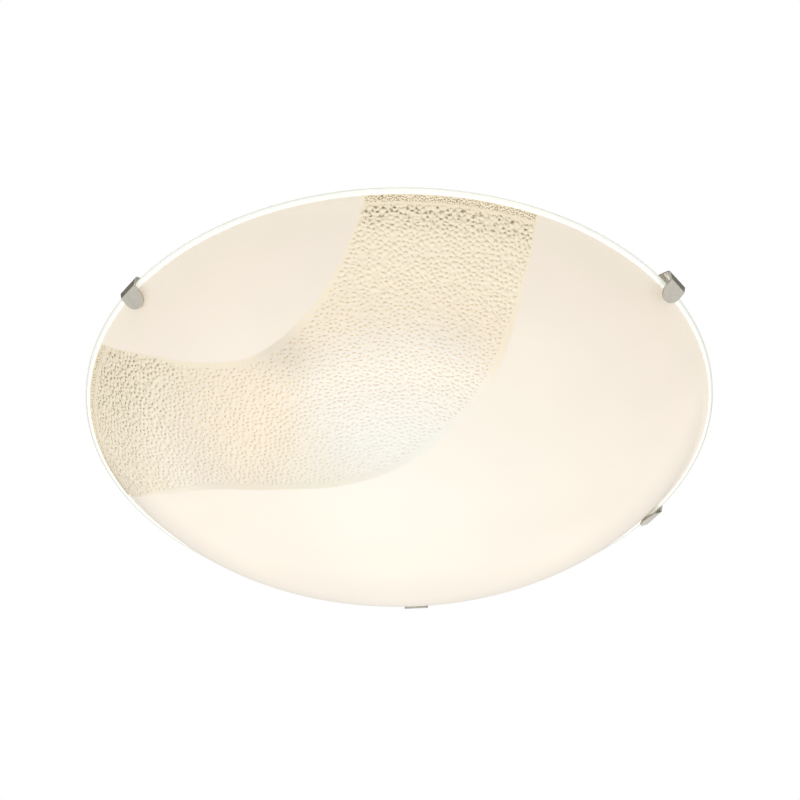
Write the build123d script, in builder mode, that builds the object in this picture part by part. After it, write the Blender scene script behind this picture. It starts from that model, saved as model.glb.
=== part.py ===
"""Round ceiling light: a pressed steel pan with an LED module, and a bent glass bowl held by four clips.

Millimetres, +Z up. The origin is the middle of the bracket's top face, in the plane of the ceiling.
Three clips are fixed to the pan, and the fourth, on the -X side, slides outwards against a coil spring.
"""

import os
from math import asin, atan, cos, degrees, pi, radians, sin, sqrt, tan

from build123d import *

# Glass bowl
glass_diameter = 315.0
glass_thickness = 3.0
bowl_depth = 54.0
rim_ledge = 3.2
shoulder_radius = 78.0
shoulder_slope = 59.0
rim_edge_fillet = 0.8
rim_neck_fillet = 2.0

# Pressed steel pan
pan_diameter = 240.0
pan_depth = 25.0
pan_sheet = 1.0
pan_draft = 2.0
pan_flange = 5.0
pan_draw_radius = 5.0

# Bracket screwed to the ceiling, with two weld nuts that take the pan's screws
bracket_length = 150.0
bracket_width = 24.0
bracket_thickness = 2.0
bracket_corner = 6.0
ceiling_slot_spacing = 72.0
ceiling_slot_length = 18.0
ceiling_slot_width = 5.2
pan_screw_spacing = 124.0
pan_screw_diameter = 4.0
pan_screw_head_diameter = 8.0
pan_screw_head_height = 2.6
weld_nut_across_flats = 7.0
weld_nut_height = 3.2
screw_tip_margin = 0.5

# Clips bent from flat strip
strip_width = 14.0
lip_width = 12.0
strip_thickness = 1.0
strip_bend_radius = 1.3
rim_side_gap = 0.6
rim_top_gap = 0.7
lip_drop = 0.2
lip_slope = 38.0
lip_length = 9.4
lip_end_flat = 0.15
clip_angles = {"left_clip": -67.2, "middle_clip": 0.0, "right_clip": 53.2}
side_clip_stand_off = 4.0
strip_end_margin = 8.0
inner_rivet_radius = 86.0
outer_rivet_radius = 103.0
clip_rivet_diameter = 4.0
rivet_head_diameter = 7.0
rivet_head_height = 1.2
rivet_head_edge = 0.25
rivet_tail_diameter = 5.8

# Soft pads between the lips and the glass
pad_diameter = 7.0
pad_thickness = 0.5
pad_tip_inset = 0.6

# Sliding clip, its two guides and its spring
clip_travel = 12.0
slide_clearance = 0.3
slide_tail_margin = 2.0
guide_width = 6.0
guide_ear = 8.0
guide_sheet = 1.0
guide_rivet_diameter = 3.0
guide_rivet_head_diameter = 5.8
guide_rivet_tail_diameter = 4.8
guide_slot_margin = 2.0
spring_start = 79.0
spring_rest_length = 24.0
spring_diameter = 5.4
spring_wire = 0.7
spring_turns = 9
spring_side_gap = 0.5
spring_end_gap = 0.1
spring_nib_width = 2.0
spring_nib_length = 3.0
lug_width = 5.0
lug_drop = 3.4
lug_stop_gap = 1.0

# LED module under the pan
board_diameter = 92.0
board_thickness = 1.6
board_screw_pitch_diameter = 56.0
board_screw_angles = (0.0, 120.0, 240.0)
board_screw_diameter = 3.0
board_screw_head_diameter = 5.6
board_screw_head_height = 2.0
board_screw_reach = 1.6
chip_size = 3.0
chip_height = 0.7
inner_chip_radius = 18.0
inner_chip_count = 12
outer_chip_radius = 38.0
outer_chip_count = 24
cover_diameter = 104.0
cover_height = 14.0
cover_wall = 1.2
cover_dome_radius = 160.0
cover_edge_round = 2.4
cover_ear_pitch_diameter = 112.0
cover_ear_radius = 4.5
cover_ear_angles = (75.0, 255.0)
connector_size = (16.0, 8.0, 4.0)
connector_corner = 1.0
lead_hole = (6.0, 27.0)
lead_hole_diameter = 8.0
grommet_flange = 1.6
grommet_lip = 1.2
grommet_bore = 5.4

# Driver and wiring inside the pan
driver_size = (40.0, 92.0, 18.0)
driver_place = (54.0, 0.0)
driver_wall = 1.6
driver_corner = 3.0
driver_lid_thickness = 1.8
driver_lid_round = 0.6
driver_lid_rim = 2.0
driver_lid_rim_wall = 1.45
driver_lid_gap = 0.15
driver_ear = 10.0
driver_ear_thickness = 2.0
terminal_size = (17.0, 28.0, 9.0)
terminal_place = (-45.0, -45.0)
terminal_corner = 1.0
terminal_pitch = 9.0
terminal_row_spacing = 8.4
terminal_barrel_diameter = 7.4
terminal_barrel_height = 5.0
terminal_screw_diameter = 3.4
terminal_screw_length = 5.0
terminal_screw_recess = 1.0
terminal_fixing_head_diameter = 4.2
wire_entry_diameter = 3.0
wire_entry_height = 6.0
wire_entry_depth = 5.0
wire_end_gap = 1.0
lead_diameter = 2.2
lead_bend_radius = 20.0
led_lead_diameter = 1.8
led_lead_spacing = 2.6
led_lead_bend_radius = 7.0
driver_inlet_height = 9.0
driver_inlet_margin = 8.0
earth_place = (-22.0, -84.0)
earth_ring_diameter = 9.0
earth_ring_thickness = 0.8
earth_barrel_diameter = 3.6
earth_barrel_length = 7.0
earth_bend_radius = 4.0

# Fits
shank_clearance = 0.1
hole_clearance = 0.25
same_size = 0.001

# Levels, from the ceiling down
floor_top = pan_sheet - pan_depth
floor_bottom = -pan_depth
fixed_strip_mid = floor_bottom - strip_thickness / 2
slide_strip_mid = fixed_strip_mid - slide_clearance
rim_top = floor_bottom - strip_thickness - rim_top_gap
rim_bottom = rim_top - glass_thickness
bowl_bottom = rim_bottom - bowl_depth
board_bottom = floor_bottom - board_thickness

# Radii that follow from the sizes above
rim_radius = glass_diameter / 2
neck_radius = rim_radius - rim_ledge
plate_radius = rim_radius + rim_side_gap + strip_thickness / 2
plate_top = floor_bottom - strip_thickness
fixed_strip_start = inner_rivet_radius - strip_end_margin
clip_stand_offs = {"left_clip": side_clip_stand_off, "middle_clip": 0.0, "right_clip": side_clip_stand_off}
lip_fold_level = rim_bottom - lip_drop - strip_thickness / 2
pan_radius = pan_diameter / 2
spring_end = spring_start + spring_rest_length
slot_end = spring_end + pan_sheet + lug_stop_gap
inner_guide_radius = spring_start - guide_slot_margin - guide_width / 2
outer_guide_radius = slot_end + guide_slot_margin + guide_width / 2
slide_start = inner_guide_radius - guide_width / 2 - clip_travel - slide_tail_margin
spring_mean_radius = (spring_diameter - spring_wire) / 2
slot_width = spring_diameter + 2 * spring_side_gap
guide_rivet_offset = strip_width / 2 + slide_clearance + guide_sheet + guide_ear / 2

os.makedirs("parts", exist_ok=True)


def save(part, label):
    """Label a finished piece and write its file."""
    part.label = label
    export_step(part, f"parts/{label}.step")


def polar(radius, angle):
    """A point on a circle about the lamp's axis, in plan."""
    return radius * cos(radians(angle)), radius * sin(radians(angle))


def radial_plane(angle, stand_off=0):
    """An upright plane through the lamp's axis: its x runs outwards, from a stand-off, and its y runs up."""
    across = (sin(radians(angle)), -cos(radians(angle)), 0)
    outwards = (cos(radians(angle)), sin(radians(angle)), 0)
    return Plane(origin=(*polar(stand_off, angle), 0), x_dir=outwards, z_dir=across)


def lip_point(along, above):
    """A point of a clip's profile, measured along its lip from the fold and up from the lip's middle."""
    slope = radians(lip_slope)
    return (
        plate_radius - along * cos(slope) - above * sin(slope),
        lip_fold_level - along * sin(slope) + above * cos(slope),
    )


def strip_line(start, strip_mid):
    """A clip's middle line: out over the rim, down past its edge and in under the shoulder."""
    level_shift = strip_mid - fixed_strip_mid
    fold = lip_point(0, 0)
    tip = lip_point(lip_length, 0)
    FilletPolyline(
        (start, strip_mid),
        (plate_radius, strip_mid),
        (fold[0], fold[1] + level_shift),
        (tip[0], tip[1] + level_shift),
        radius=strip_bend_radius,
    )


def ring_edges(part, radius):
    """The round edges of a part that have this radius, from the lowest up."""
    rings = part.edges().filter_by(GeomType.CIRCLE)
    return rings.filter_by(lambda e: abs(e.radius - radius) < same_size).sort_by(Axis.Z)


def round_lip_end(clip):
    """Round the free end of a clip's lip."""
    corners = clip.edges().filter_by(lambda e: abs(e.length - strip_thickness) < same_size)
    fillet(corners.sort_by(Axis.Z)[:2], radius=(lip_width - lip_end_flat) / 2)


def taper_clip(angle, level_shift):
    """Narrow a clip from the strip's width at the top of its plate to the lip's width at the fold."""
    side = [
        (strip_width / 2, 0),
        (strip_width / 2, plate_top + level_shift),
        (lip_width / 2, lip_fold_level + level_shift),
        (lip_width / 2, lip_fold_level + level_shift - lip_length),
    ]
    other_side = [(-across, level) for across, level in reversed(side)]
    outwards = (cos(radians(angle)), sin(radians(angle)), 0)
    across = (-sin(radians(angle)), cos(radians(angle)), 0)
    with BuildSketch(Plane(origin=(0, 0, 0), x_dir=across, z_dir=outwards)) as outline:
        with BuildLine():
            Polyline(*side, *other_side, close=True)
        make_face()
    reach = plate_radius + strip_thickness + side_clip_stand_off
    extrude(outline.sketch, amount=reach, mode=Mode.INTERSECT)


def floor_holes(points, diameter):
    """Cut round holes through the pan's floor."""
    with BuildSketch(Plane.XY.offset(floor_bottom)) as holes:
        with Locations(*points):
            Circle(diameter / 2)
    extrude(holes.sketch, amount=pan_sheet, mode=Mode.SUBTRACT)


def lead(points, radius, diameter):
    """A wire swept along straight runs joined by tangent arcs."""
    with BuildPart() as wire:
        with BuildLine() as route:
            FilletPolyline(*points, radius=radius)
        with BuildSketch(Plane(origin=route.line @ 0, z_dir=route.line % 0)):
            Circle(diameter / 2)
        sweep()
    return wire.part


# Places that several pieces share
pan_screw_points = [(0, -pan_screw_spacing / 2), (0, pan_screw_spacing / 2)]
clip_rivet_radii = (inner_rivet_radius, outer_rivet_radius)
clip_rivet_points = [
    polar(r + clip_stand_offs[name], a) for name, a in clip_angles.items() for r in clip_rivet_radii
]
guide_rivet_points = [
    (-r, side * guide_rivet_offset) for r in (inner_guide_radius, outer_guide_radius) for side in (-1, 1)
]
board_screw_points = [polar(board_screw_pitch_diameter / 2, a) for a in board_screw_angles]
cover_screw_points = [polar(cover_ear_pitch_diameter / 2, a) for a in cover_ear_angles]
driver_screw_points = [
    (driver_place[0], driver_place[1] + side * (driver_size[1] + driver_ear) / 2) for side in (-1, 1)
]
driver_side = driver_place[0] - driver_size[0] / 2
driver_inlet_level = floor_top + driver_inlet_height
led_lead_rows = [lead_hole[1] + side * led_lead_spacing / 2 for side in (-1, 1)]
terminal_rows = [terminal_place[1] + pole * terminal_pitch for pole in (-1, 0, 1)]
terminal_screw_points = [
    (terminal_place[0] + side * terminal_row_spacing / 2, row) for row in terminal_rows for side in (-1, 1)
]
terminal_fixing_point = (terminal_place[0], terminal_place[1] + terminal_pitch / 2)
terminal_side = terminal_place[0] + terminal_size[0] / 2
wire_entry_level = floor_top + wire_entry_height
earth_row, neutral_row, live_row = terminal_rows
driver_end = driver_place[1] - driver_size[1] / 2
supply_inlet_rows = [driver_end + driver_inlet_margin + pole * terminal_pitch for pole in (0, 1)]

# Glass bowl: a crown arc and a tighter shoulder arc on shared centres, then a flat ledge round the mouth
slope = radians(shoulder_slope)
crown_half_angle = atan(
    (bowl_depth - shoulder_radius * (1 - cos(slope))) / (neck_radius - shoulder_radius * sin(slope))
)
crown_angle = 2 * crown_half_angle
crown_radius = shoulder_radius + (neck_radius - shoulder_radius * sin(slope)) / sin(crown_angle)
crown_centre = (0, bowl_bottom + crown_radius)
shoulder_centre = (
    (crown_radius - shoulder_radius) * sin(crown_angle),
    crown_centre[1] - (crown_radius - shoulder_radius) * cos(crown_angle),
)
inner_wall_top = (
    shoulder_centre[0] + (shoulder_radius - glass_thickness) * sin(slope),
    shoulder_centre[1] - (shoulder_radius - glass_thickness) * cos(slope),
)
inner_neck_radius = inner_wall_top[0] + (rim_top - inner_wall_top[1]) / tan(slope)
shoulder_span = (degrees(crown_angle) - 90, shoulder_slope - degrees(crown_angle))
with BuildPart() as glass_bowl:
    with BuildSketch(Plane.XZ):
        with BuildLine():
            CenterArc(crown_centre, crown_radius, -90, degrees(crown_angle))
            CenterArc(shoulder_centre, shoulder_radius, *shoulder_span)
            Polyline(
                (neck_radius, rim_bottom),
                (rim_radius, rim_bottom),
                (rim_radius, rim_top),
                (inner_neck_radius, rim_top),
                inner_wall_top,
            )
            CenterArc(shoulder_centre, shoulder_radius - glass_thickness, *shoulder_span)
            CenterArc(crown_centre, crown_radius - glass_thickness, -90, degrees(crown_angle))
            Line((0, bowl_bottom), (0, bowl_bottom + glass_thickness))
        make_face()
    revolve(axis=Axis.Z)
    fillet(ring_edges(glass_bowl, rim_radius), radius=rim_edge_fillet)
    fillet(ring_edges(glass_bowl, neck_radius), radius=rim_neck_fillet)
    fillet(ring_edges(glass_bowl, inner_neck_radius), radius=rim_neck_fillet)
save(glass_bowl.part, "glass_bowl")

# Pan: a drawn dish, open to the ceiling, with a window and a bent lug for the spring
window_length = spring_rest_length + spring_end_gap
with BuildPart() as pan:
    with BuildSketch(Plane.XZ):
        with BuildLine():
            Polyline(
                (0, floor_bottom),
                (pan_radius, floor_bottom),
                (pan_radius + pan_draft, -pan_sheet),
                (pan_radius + pan_draft + pan_flange, -pan_sheet),
                (pan_radius + pan_draft + pan_flange, 0),
                (pan_radius + pan_draft - pan_sheet, 0),
                (pan_radius - pan_sheet, floor_top),
                (0, floor_top),
                close=True,
            )
        make_face()
    revolve(axis=Axis.Z)
    fillet(ring_edges(pan, pan_radius)[0], radius=pan_draw_radius + pan_sheet)
    fillet(ring_edges(pan, pan_radius - pan_sheet)[0], radius=pan_draw_radius)
    floor_holes(pan_screw_points, pan_screw_diameter + 2 * hole_clearance)
    floor_holes(clip_rivet_points, clip_rivet_diameter + 2 * shank_clearance)
    floor_holes(guide_rivet_points, guide_rivet_diameter + 2 * shank_clearance)
    floor_holes(
        board_screw_points + cover_screw_points + driver_screw_points + [earth_place, terminal_fixing_point],
        board_screw_diameter + 2 * shank_clearance,
    )
    floor_holes([lead_hole], lead_hole_diameter + 2 * shank_clearance)
    with BuildSketch(Plane.XY.offset(floor_bottom)):
        with Locations((-spring_end + window_length / 2, 0)):
            Rectangle(window_length, slot_width)
    extrude(amount=pan_sheet, mode=Mode.SUBTRACT)
    with BuildSketch(Plane.XY.offset(floor_top)):
        with Locations((-spring_end - pan_sheet / 2, 0)):
            Rectangle(pan_sheet, lug_width)
    extrude(amount=-pan_sheet - lug_drop)
save(pan.part, "pan")

# Ceiling bracket: a flat bar with two slots for the ceiling's screws
with BuildPart() as ceiling_bracket:
    with BuildSketch(Plane.XY.offset(-bracket_thickness)):
        RectangleRounded(bracket_width, bracket_length, bracket_corner)
        with Locations((0, -ceiling_slot_spacing / 2), (0, ceiling_slot_spacing / 2)):
            SlotOverall(ceiling_slot_length, ceiling_slot_width, rotation=90, mode=Mode.SUBTRACT)
        with Locations(*pan_screw_points):
            Circle(pan_screw_diameter / 2 + hole_clearance, mode=Mode.SUBTRACT)
    extrude(amount=bracket_thickness)
save(ceiling_bracket.part, "ceiling_bracket")

with BuildPart() as weld_nuts:
    with BuildSketch(Plane.XY.offset(-bracket_thickness - weld_nut_height)):
        with Locations(*pan_screw_points):
            RegularPolygon(weld_nut_across_flats / 2, 6, major_radius=False)
            Circle(pan_screw_diameter / 2 + shank_clearance, mode=Mode.SUBTRACT)
    extrude(amount=weld_nut_height)
save(weld_nuts.part, "weld_nuts")

with BuildPart() as pan_screws:
    with BuildSketch(Plane.XY.offset(floor_bottom - pan_screw_head_height)):
        with Locations(*pan_screw_points):
            Circle(pan_screw_head_diameter / 2)
    extrude(amount=pan_screw_head_height)
    fillet(pan_screws.edges().group_by(Axis.Z)[0], radius=pan_screw_head_height / 2)
    with BuildSketch(Plane.XY.offset(floor_bottom)):
        with Locations(*pan_screw_points):
            Circle(pan_screw_diameter / 2)
    extrude(amount=pan_depth - screw_tip_margin)
save(pan_screws.part, "pan_screws")

# Fixed clips
for clip_name, clip_angle in clip_angles.items():
    stand_off = clip_stand_offs[clip_name]
    with BuildPart() as fixed_clip:
        with BuildSketch(radial_plane(clip_angle, stand_off)):
            with BuildLine():
                strip_line(fixed_strip_start, fixed_strip_mid)
            trace(line_width=strip_thickness)
        extrude(amount=strip_width / 2, both=True)
        taper_clip(clip_angle, 0)
        round_lip_end(fixed_clip)
        with BuildSketch(Plane.XY.offset(floor_bottom)):
            with Locations(*[polar(r + stand_off, clip_angle) for r in clip_rivet_radii]):
                Circle(clip_rivet_diameter / 2 + shank_clearance)
        extrude(amount=-strip_thickness, mode=Mode.SUBTRACT)
    save(fixed_clip.part, clip_name)

# Rivets that hold the fixed clips: round heads under the strips, flat tails inside the pan
with BuildPart() as clip_rivets:
    with BuildSketch(Plane.XY.offset(floor_bottom - strip_thickness - rivet_head_height)):
        with Locations(*clip_rivet_points):
            Circle(rivet_head_diameter / 2)
    extrude(amount=rivet_head_height)
    fillet(clip_rivets.edges().group_by(Axis.Z)[0], radius=rivet_head_height - rivet_head_edge)
    with BuildSketch(Plane.XY.offset(floor_bottom - strip_thickness)):
        with Locations(*clip_rivet_points):
            Circle(clip_rivet_diameter / 2)
    extrude(amount=strip_thickness + pan_sheet)
    with BuildSketch(Plane.XY.offset(floor_top)):
        with Locations(*clip_rivet_points):
            Circle(rivet_tail_diameter / 2)
    extrude(amount=rivet_head_height)
save(clip_rivets.part, "clip_rivets")


def lip_pad(angle, stand_off, level_shift):
    """A thin round pad on a clip's lip, next to the glass."""
    middle = lip_length - pad_tip_inset - pad_diameter / 2
    foot = lip_point(middle, strip_thickness / 2)
    centre = radial_plane(angle, stand_off).from_local_coords((foot[0], foot[1] + level_shift, 0))
    up = radial_plane(angle).from_local_coords((-sin(radians(lip_slope)), cos(radians(lip_slope)), 0))
    with BuildSketch(Plane(origin=centre, z_dir=up)) as pad:
        Circle(pad_diameter / 2)
    extrude(pad.sketch, amount=pad_thickness)


with BuildPart() as clip_pads:
    for clip_name, clip_angle in clip_angles.items():
        lip_pad(clip_angle, clip_stand_offs[clip_name], 0)
save(clip_pads.part, "clip_pads")

# Sliding clip: the same bend, with a slot for the spring and a nib that the spring's end sits on
slide_plane = radial_plane(180)
with BuildPart() as sliding_clip:
    with BuildSketch(slide_plane):
        with BuildLine():
            strip_line(slide_start, slide_strip_mid)
        trace(line_width=strip_thickness)
    extrude(amount=strip_width / 2, both=True)
    taper_clip(180, -slide_clearance)
    round_lip_end(sliding_clip)
    with BuildSketch(Plane.XY.offset(slide_strip_mid - strip_thickness / 2)):
        with Locations((-(spring_start + slot_end) / 2, 0)):
            Rectangle(slot_end - spring_start, slot_width)
        with Locations((-spring_start - spring_nib_length / 2, 0)):
            Rectangle(spring_nib_length, spring_nib_width, mode=Mode.SUBTRACT)
    extrude(amount=strip_thickness, mode=Mode.SUBTRACT)
save(sliding_clip.part, "sliding_clip")

with BuildPart() as sliding_clip_pad:
    lip_pad(180, 0, -slide_clearance)
save(sliding_clip_pad.part, "sliding_clip_pad")

# Guides: two hat-shaped straps that hold the sliding strip up against the pan
guide_radii = {"inner_guide": inner_guide_radius, "outer_guide": outer_guide_radius}
for guide_name, guide_radius in guide_radii.items():
    half_inside = strip_width / 2 + slide_clearance
    strap_inside = floor_bottom - strip_thickness - 2 * slide_clearance
    with BuildPart() as guide:
        with BuildSketch(Plane.YZ.offset(-guide_radius)):
            with BuildLine():
                Polyline(
                    (-half_inside - guide_sheet - guide_ear, floor_bottom),
                    (-half_inside, floor_bottom),
                    (-half_inside, strap_inside),
                    (half_inside, strap_inside),
                    (half_inside, floor_bottom),
                    (half_inside + guide_sheet + guide_ear, floor_bottom),
                    (half_inside + guide_sheet + guide_ear, floor_bottom - guide_sheet),
                    (half_inside + guide_sheet, floor_bottom - guide_sheet),
                    (half_inside + guide_sheet, strap_inside - guide_sheet),
                    (-half_inside - guide_sheet, strap_inside - guide_sheet),
                    (-half_inside - guide_sheet, floor_bottom - guide_sheet),
                    (-half_inside - guide_sheet - guide_ear, floor_bottom - guide_sheet),
                    close=True,
                )
            make_face()
        extrude(amount=guide_width / 2, both=True)
        with BuildSketch(Plane.XY.offset(floor_bottom)):
            with Locations(*[(-guide_radius, side * guide_rivet_offset) for side in (-1, 1)]):
                Circle(guide_rivet_diameter / 2 + shank_clearance)
        extrude(amount=-guide_sheet, mode=Mode.SUBTRACT)
    save(guide.part, guide_name)

with BuildPart() as guide_rivets:
    with BuildSketch(Plane.XY.offset(floor_bottom - guide_sheet - rivet_head_height)):
        with Locations(*guide_rivet_points):
            Circle(guide_rivet_head_diameter / 2)
    extrude(amount=rivet_head_height)
    fillet(guide_rivets.edges().group_by(Axis.Z)[0], radius=rivet_head_height - rivet_head_edge)
    with BuildSketch(Plane.XY.offset(floor_bottom - guide_sheet)):
        with Locations(*guide_rivet_points):
            Circle(guide_rivet_diameter / 2)
    extrude(amount=guide_sheet + pan_sheet)
    with BuildSketch(Plane.XY.offset(floor_top)):
        with Locations(*guide_rivet_points):
            Circle(guide_rivet_tail_diameter / 2)
    extrude(amount=rivet_head_height)
save(guide_rivets.part, "guide_rivets")

# Coil spring, squeezed between the slot's inner end and the pan's lug
coil_length = spring_rest_length - spring_wire - 2 * spring_end_gap
coil_start = -spring_start - spring_wire / 2 - spring_end_gap
coil_pitch = coil_length / spring_turns


def coil_point(turn):
    """A point of the spring's wire, after some turns."""
    angle = 2 * pi * turn
    return Vector(
        coil_start - coil_pitch * turn,
        spring_mean_radius * cos(angle),
        slide_strip_mid + spring_mean_radius * sin(angle),
    )


def coil_tangent(turn):
    """The direction of the spring's wire, after some turns."""
    angle = 2 * pi * turn
    step = coil_pitch / (2 * pi)
    return Vector(-step, -spring_mean_radius * sin(angle), spring_mean_radius * cos(angle)).normalized()


with BuildPart() as clip_spring:
    with BuildLine():
        for quarter in range(4 * spring_turns):
            first, last = quarter / 4, (quarter + 1) / 4
            start, end = coil_point(first), coil_point(last)
            leaving, arriving = coil_tangent(first), coil_tangent(last)
            reach = end - start
            spread = 2 * (1 - leaving.dot(arriving))
            along = reach.dot(leaving + arriving)
            handle = (sqrt(along**2 + spread * reach.dot(reach)) - along) / spread
            meeting = (start + end + (leaving - arriving) * handle) / 2
            TangentArc(start, meeting, tangent=leaving)
            TangentArc(meeting, end, tangent=arriving * -1, tangent_from_first=False)
    with BuildSketch(Plane(origin=coil_point(0), z_dir=coil_tangent(0))):
        Circle(spring_wire / 2)
    sweep()
save(clip_spring.part, "clip_spring")
print(f"spring: least gap between turns {coil_pitch - spring_wire:.2f} mm")

# LED board with its chips, connector and screws
with BuildPart() as led_board:
    with BuildSketch(Plane.XY.offset(board_bottom)):
        Circle(board_diameter / 2)
        with Locations(*board_screw_points):
            Circle(board_screw_diameter / 2 + hole_clearance, mode=Mode.SUBTRACT)
        with Locations(lead_hole):
            Circle(lead_hole_diameter / 2 + grommet_lip + hole_clearance, mode=Mode.SUBTRACT)
    extrude(amount=board_thickness)
save(led_board.part, "led_board")

with BuildPart() as led_chips:
    with BuildSketch(Plane.XY.offset(board_bottom)):
        with PolarLocations(inner_chip_radius, inner_chip_count, start_angle=180 / inner_chip_count):
            Rectangle(chip_size, chip_size)
        with PolarLocations(outer_chip_radius, outer_chip_count, start_angle=180 / outer_chip_count):
            Rectangle(chip_size, chip_size)
    extrude(amount=-chip_height)
save(led_chips.part, "led_chips")

with BuildPart() as board_screws:
    with BuildSketch(Plane.XY.offset(board_bottom - board_screw_head_height)):
        with Locations(*board_screw_points):
            Circle(board_screw_head_diameter / 2)
    extrude(amount=board_screw_head_height)
    fillet(board_screws.edges().group_by(Axis.Z)[0], radius=board_screw_head_height / 2)
    with BuildSketch(Plane.XY.offset(board_bottom)):
        with Locations(*board_screw_points):
            Circle(board_screw_diameter / 2)
    extrude(amount=board_thickness + pan_sheet + board_screw_reach)
save(board_screws.part, "board_screws")

# Opal cover over the LED board: a shallow dome with two screw ears
cover_radius = cover_diameter / 2
cover_bottom = floor_bottom - cover_height
cover_dome_angle = degrees(asin(cover_radius / cover_dome_radius))
cover_dome_rise = cover_dome_radius - sqrt(cover_dome_radius**2 - cover_radius**2)
ear_root = cover_radius - cover_wall / 2
ear_reach = cover_ear_pitch_diameter / 2 - ear_root
with BuildPart() as led_cover:
    with BuildSketch(Plane.XZ):
        with BuildLine():
            CenterArc((0, cover_bottom + cover_dome_radius), cover_dome_radius, -90, cover_dome_angle)
            Polyline(
                (cover_radius, cover_bottom + cover_dome_rise),
                (cover_radius, floor_bottom),
                (0, floor_bottom),
                (0, cover_bottom),
            )
        make_face()
    revolve(axis=Axis.Z)
    fillet(ring_edges(led_cover, cover_radius)[0], radius=cover_edge_round)
    offset(amount=-cover_wall, openings=led_cover.faces().sort_by(Axis.Z)[-1])
    with BuildSketch(Plane.XY.offset(floor_bottom)):
        for ear_angle in cover_ear_angles:
            with PolarLocations(cover_ear_pitch_diameter / 2, 1, start_angle=ear_angle):
                Circle(cover_ear_radius)
            with PolarLocations(ear_root + ear_reach / 2, 1, start_angle=ear_angle):
                Rectangle(ear_reach, 2 * cover_ear_radius)
        Circle(ear_root, mode=Mode.SUBTRACT)
        with Locations(*cover_screw_points):
            Circle(board_screw_diameter / 2 + hole_clearance, mode=Mode.SUBTRACT)
    extrude(amount=-cover_wall)
save(led_cover.part, "led_cover")

with BuildPart() as cover_screws:
    with BuildSketch(Plane.XY.offset(floor_bottom - cover_wall - board_screw_head_height)):
        with Locations(*cover_screw_points):
            Circle(board_screw_head_diameter / 2)
    extrude(amount=board_screw_head_height)
    fillet(cover_screws.edges().group_by(Axis.Z)[0], radius=board_screw_head_height / 2)
    with BuildSketch(Plane.XY.offset(floor_bottom - cover_wall)):
        with Locations(*cover_screw_points):
            Circle(board_screw_diameter / 2)
    extrude(amount=cover_wall + pan_sheet + board_screw_reach)
save(cover_screws.part, "cover_screws")

# Grommet in the pan's floor for the two LED leads
with BuildPart() as lead_grommet:
    with BuildSketch(Plane.XY.offset(floor_top)):
        with Locations(lead_hole):
            Circle(lead_hole_diameter / 2 + grommet_lip)
    extrude(amount=grommet_flange)
    with BuildSketch(Plane.XY.offset(floor_top)):
        with Locations(lead_hole):
            Circle(lead_hole_diameter / 2)
    extrude(amount=-pan_sheet)
    with BuildSketch(Plane.XY.offset(floor_bottom)):
        with Locations(lead_hole):
            Circle(lead_hole_diameter / 2 + grommet_lip)
    extrude(amount=-board_thickness)
    with BuildSketch(Plane.XY.offset(floor_top + grommet_flange)):
        with Locations(lead_hole):
            Circle(grommet_bore / 2)
    extrude(amount=-grommet_flange - pan_sheet - board_thickness, mode=Mode.SUBTRACT)
save(lead_grommet.part, "lead_grommet")

with BuildPart() as board_connector:
    with BuildSketch(Plane.XY.offset(board_bottom)):
        with Locations(lead_hole):
            RectangleRounded(connector_size[0], connector_size[1], connector_corner)
    extrude(amount=-connector_size[2])
save(board_connector.part, "board_connector")

# LED driver: an open case with two screw ears, closed by a lid
driver_top = floor_top + driver_size[2]
lid_rim_size = [side - 2 * driver_wall - 2 * driver_lid_gap for side in driver_size[:2]]
with BuildPart() as driver_case:
    with BuildSketch(Plane.XY.offset(floor_top)):
        with Locations(driver_place):
            RectangleRounded(driver_size[0], driver_size[1], driver_corner)
    extrude(amount=driver_size[2])
    offset(amount=-driver_wall, openings=driver_case.faces().sort_by(Axis.Z)[-1])
    with BuildSketch(Plane.XY.offset(floor_top)):
        with Locations(*driver_screw_points):
            Circle(driver_ear / 2)
        for side in (-1, 1):
            with Locations((driver_place[0], driver_place[1] + side * (driver_size[1] / 2 + driver_ear / 4))):
                Rectangle(driver_ear, driver_ear / 2)
        with Locations(*driver_screw_points):
            Circle(board_screw_diameter / 2 + hole_clearance, mode=Mode.SUBTRACT)
    extrude(amount=driver_ear_thickness)
    with BuildSketch(Plane.YZ.offset(driver_side)):
        with Locations(*[(row, driver_inlet_level) for row in supply_inlet_rows]):
            Circle(lead_diameter / 2 + hole_clearance)
        with Locations(*[(row, driver_inlet_level) for row in led_lead_rows]):
            Circle(led_lead_diameter / 2 + hole_clearance)
    extrude(amount=driver_wall, mode=Mode.SUBTRACT)
save(driver_case.part, "driver_case")

with BuildPart() as driver_lid:
    with BuildSketch(Plane.XY.offset(driver_top)):
        with Locations(driver_place):
            RectangleRounded(driver_size[0], driver_size[1], driver_corner)
    extrude(amount=driver_lid_thickness)
    with BuildSketch(Plane.XY.offset(driver_top)):
        with Locations(driver_place):
            RectangleRounded(lid_rim_size[0], lid_rim_size[1], driver_corner - driver_wall)
            Rectangle(
                lid_rim_size[0] - 2 * driver_lid_rim_wall,
                lid_rim_size[1] - 2 * driver_lid_rim_wall,
                mode=Mode.SUBTRACT,
            )
    extrude(amount=-driver_lid_rim)
    fillet(driver_lid.edges().group_by(Axis.Z)[-1], radius=driver_lid_round)
save(driver_lid.part, "driver_lid")

with BuildPart() as driver_screws:
    with BuildSketch(Plane.XY.offset(floor_top + driver_ear_thickness)):
        with Locations(*driver_screw_points):
            Circle(board_screw_head_diameter / 2)
    extrude(amount=board_screw_head_height)
    fillet(driver_screws.edges().group_by(Axis.Z)[-1], radius=board_screw_head_height / 2)
    with BuildSketch(Plane.XY.offset(floor_top + driver_ear_thickness)):
        with Locations(*driver_screw_points):
            Circle(board_screw_diameter / 2)
    extrude(amount=-driver_ear_thickness - pan_sheet - board_screw_reach)
save(driver_screws.part, "driver_screws")

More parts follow.
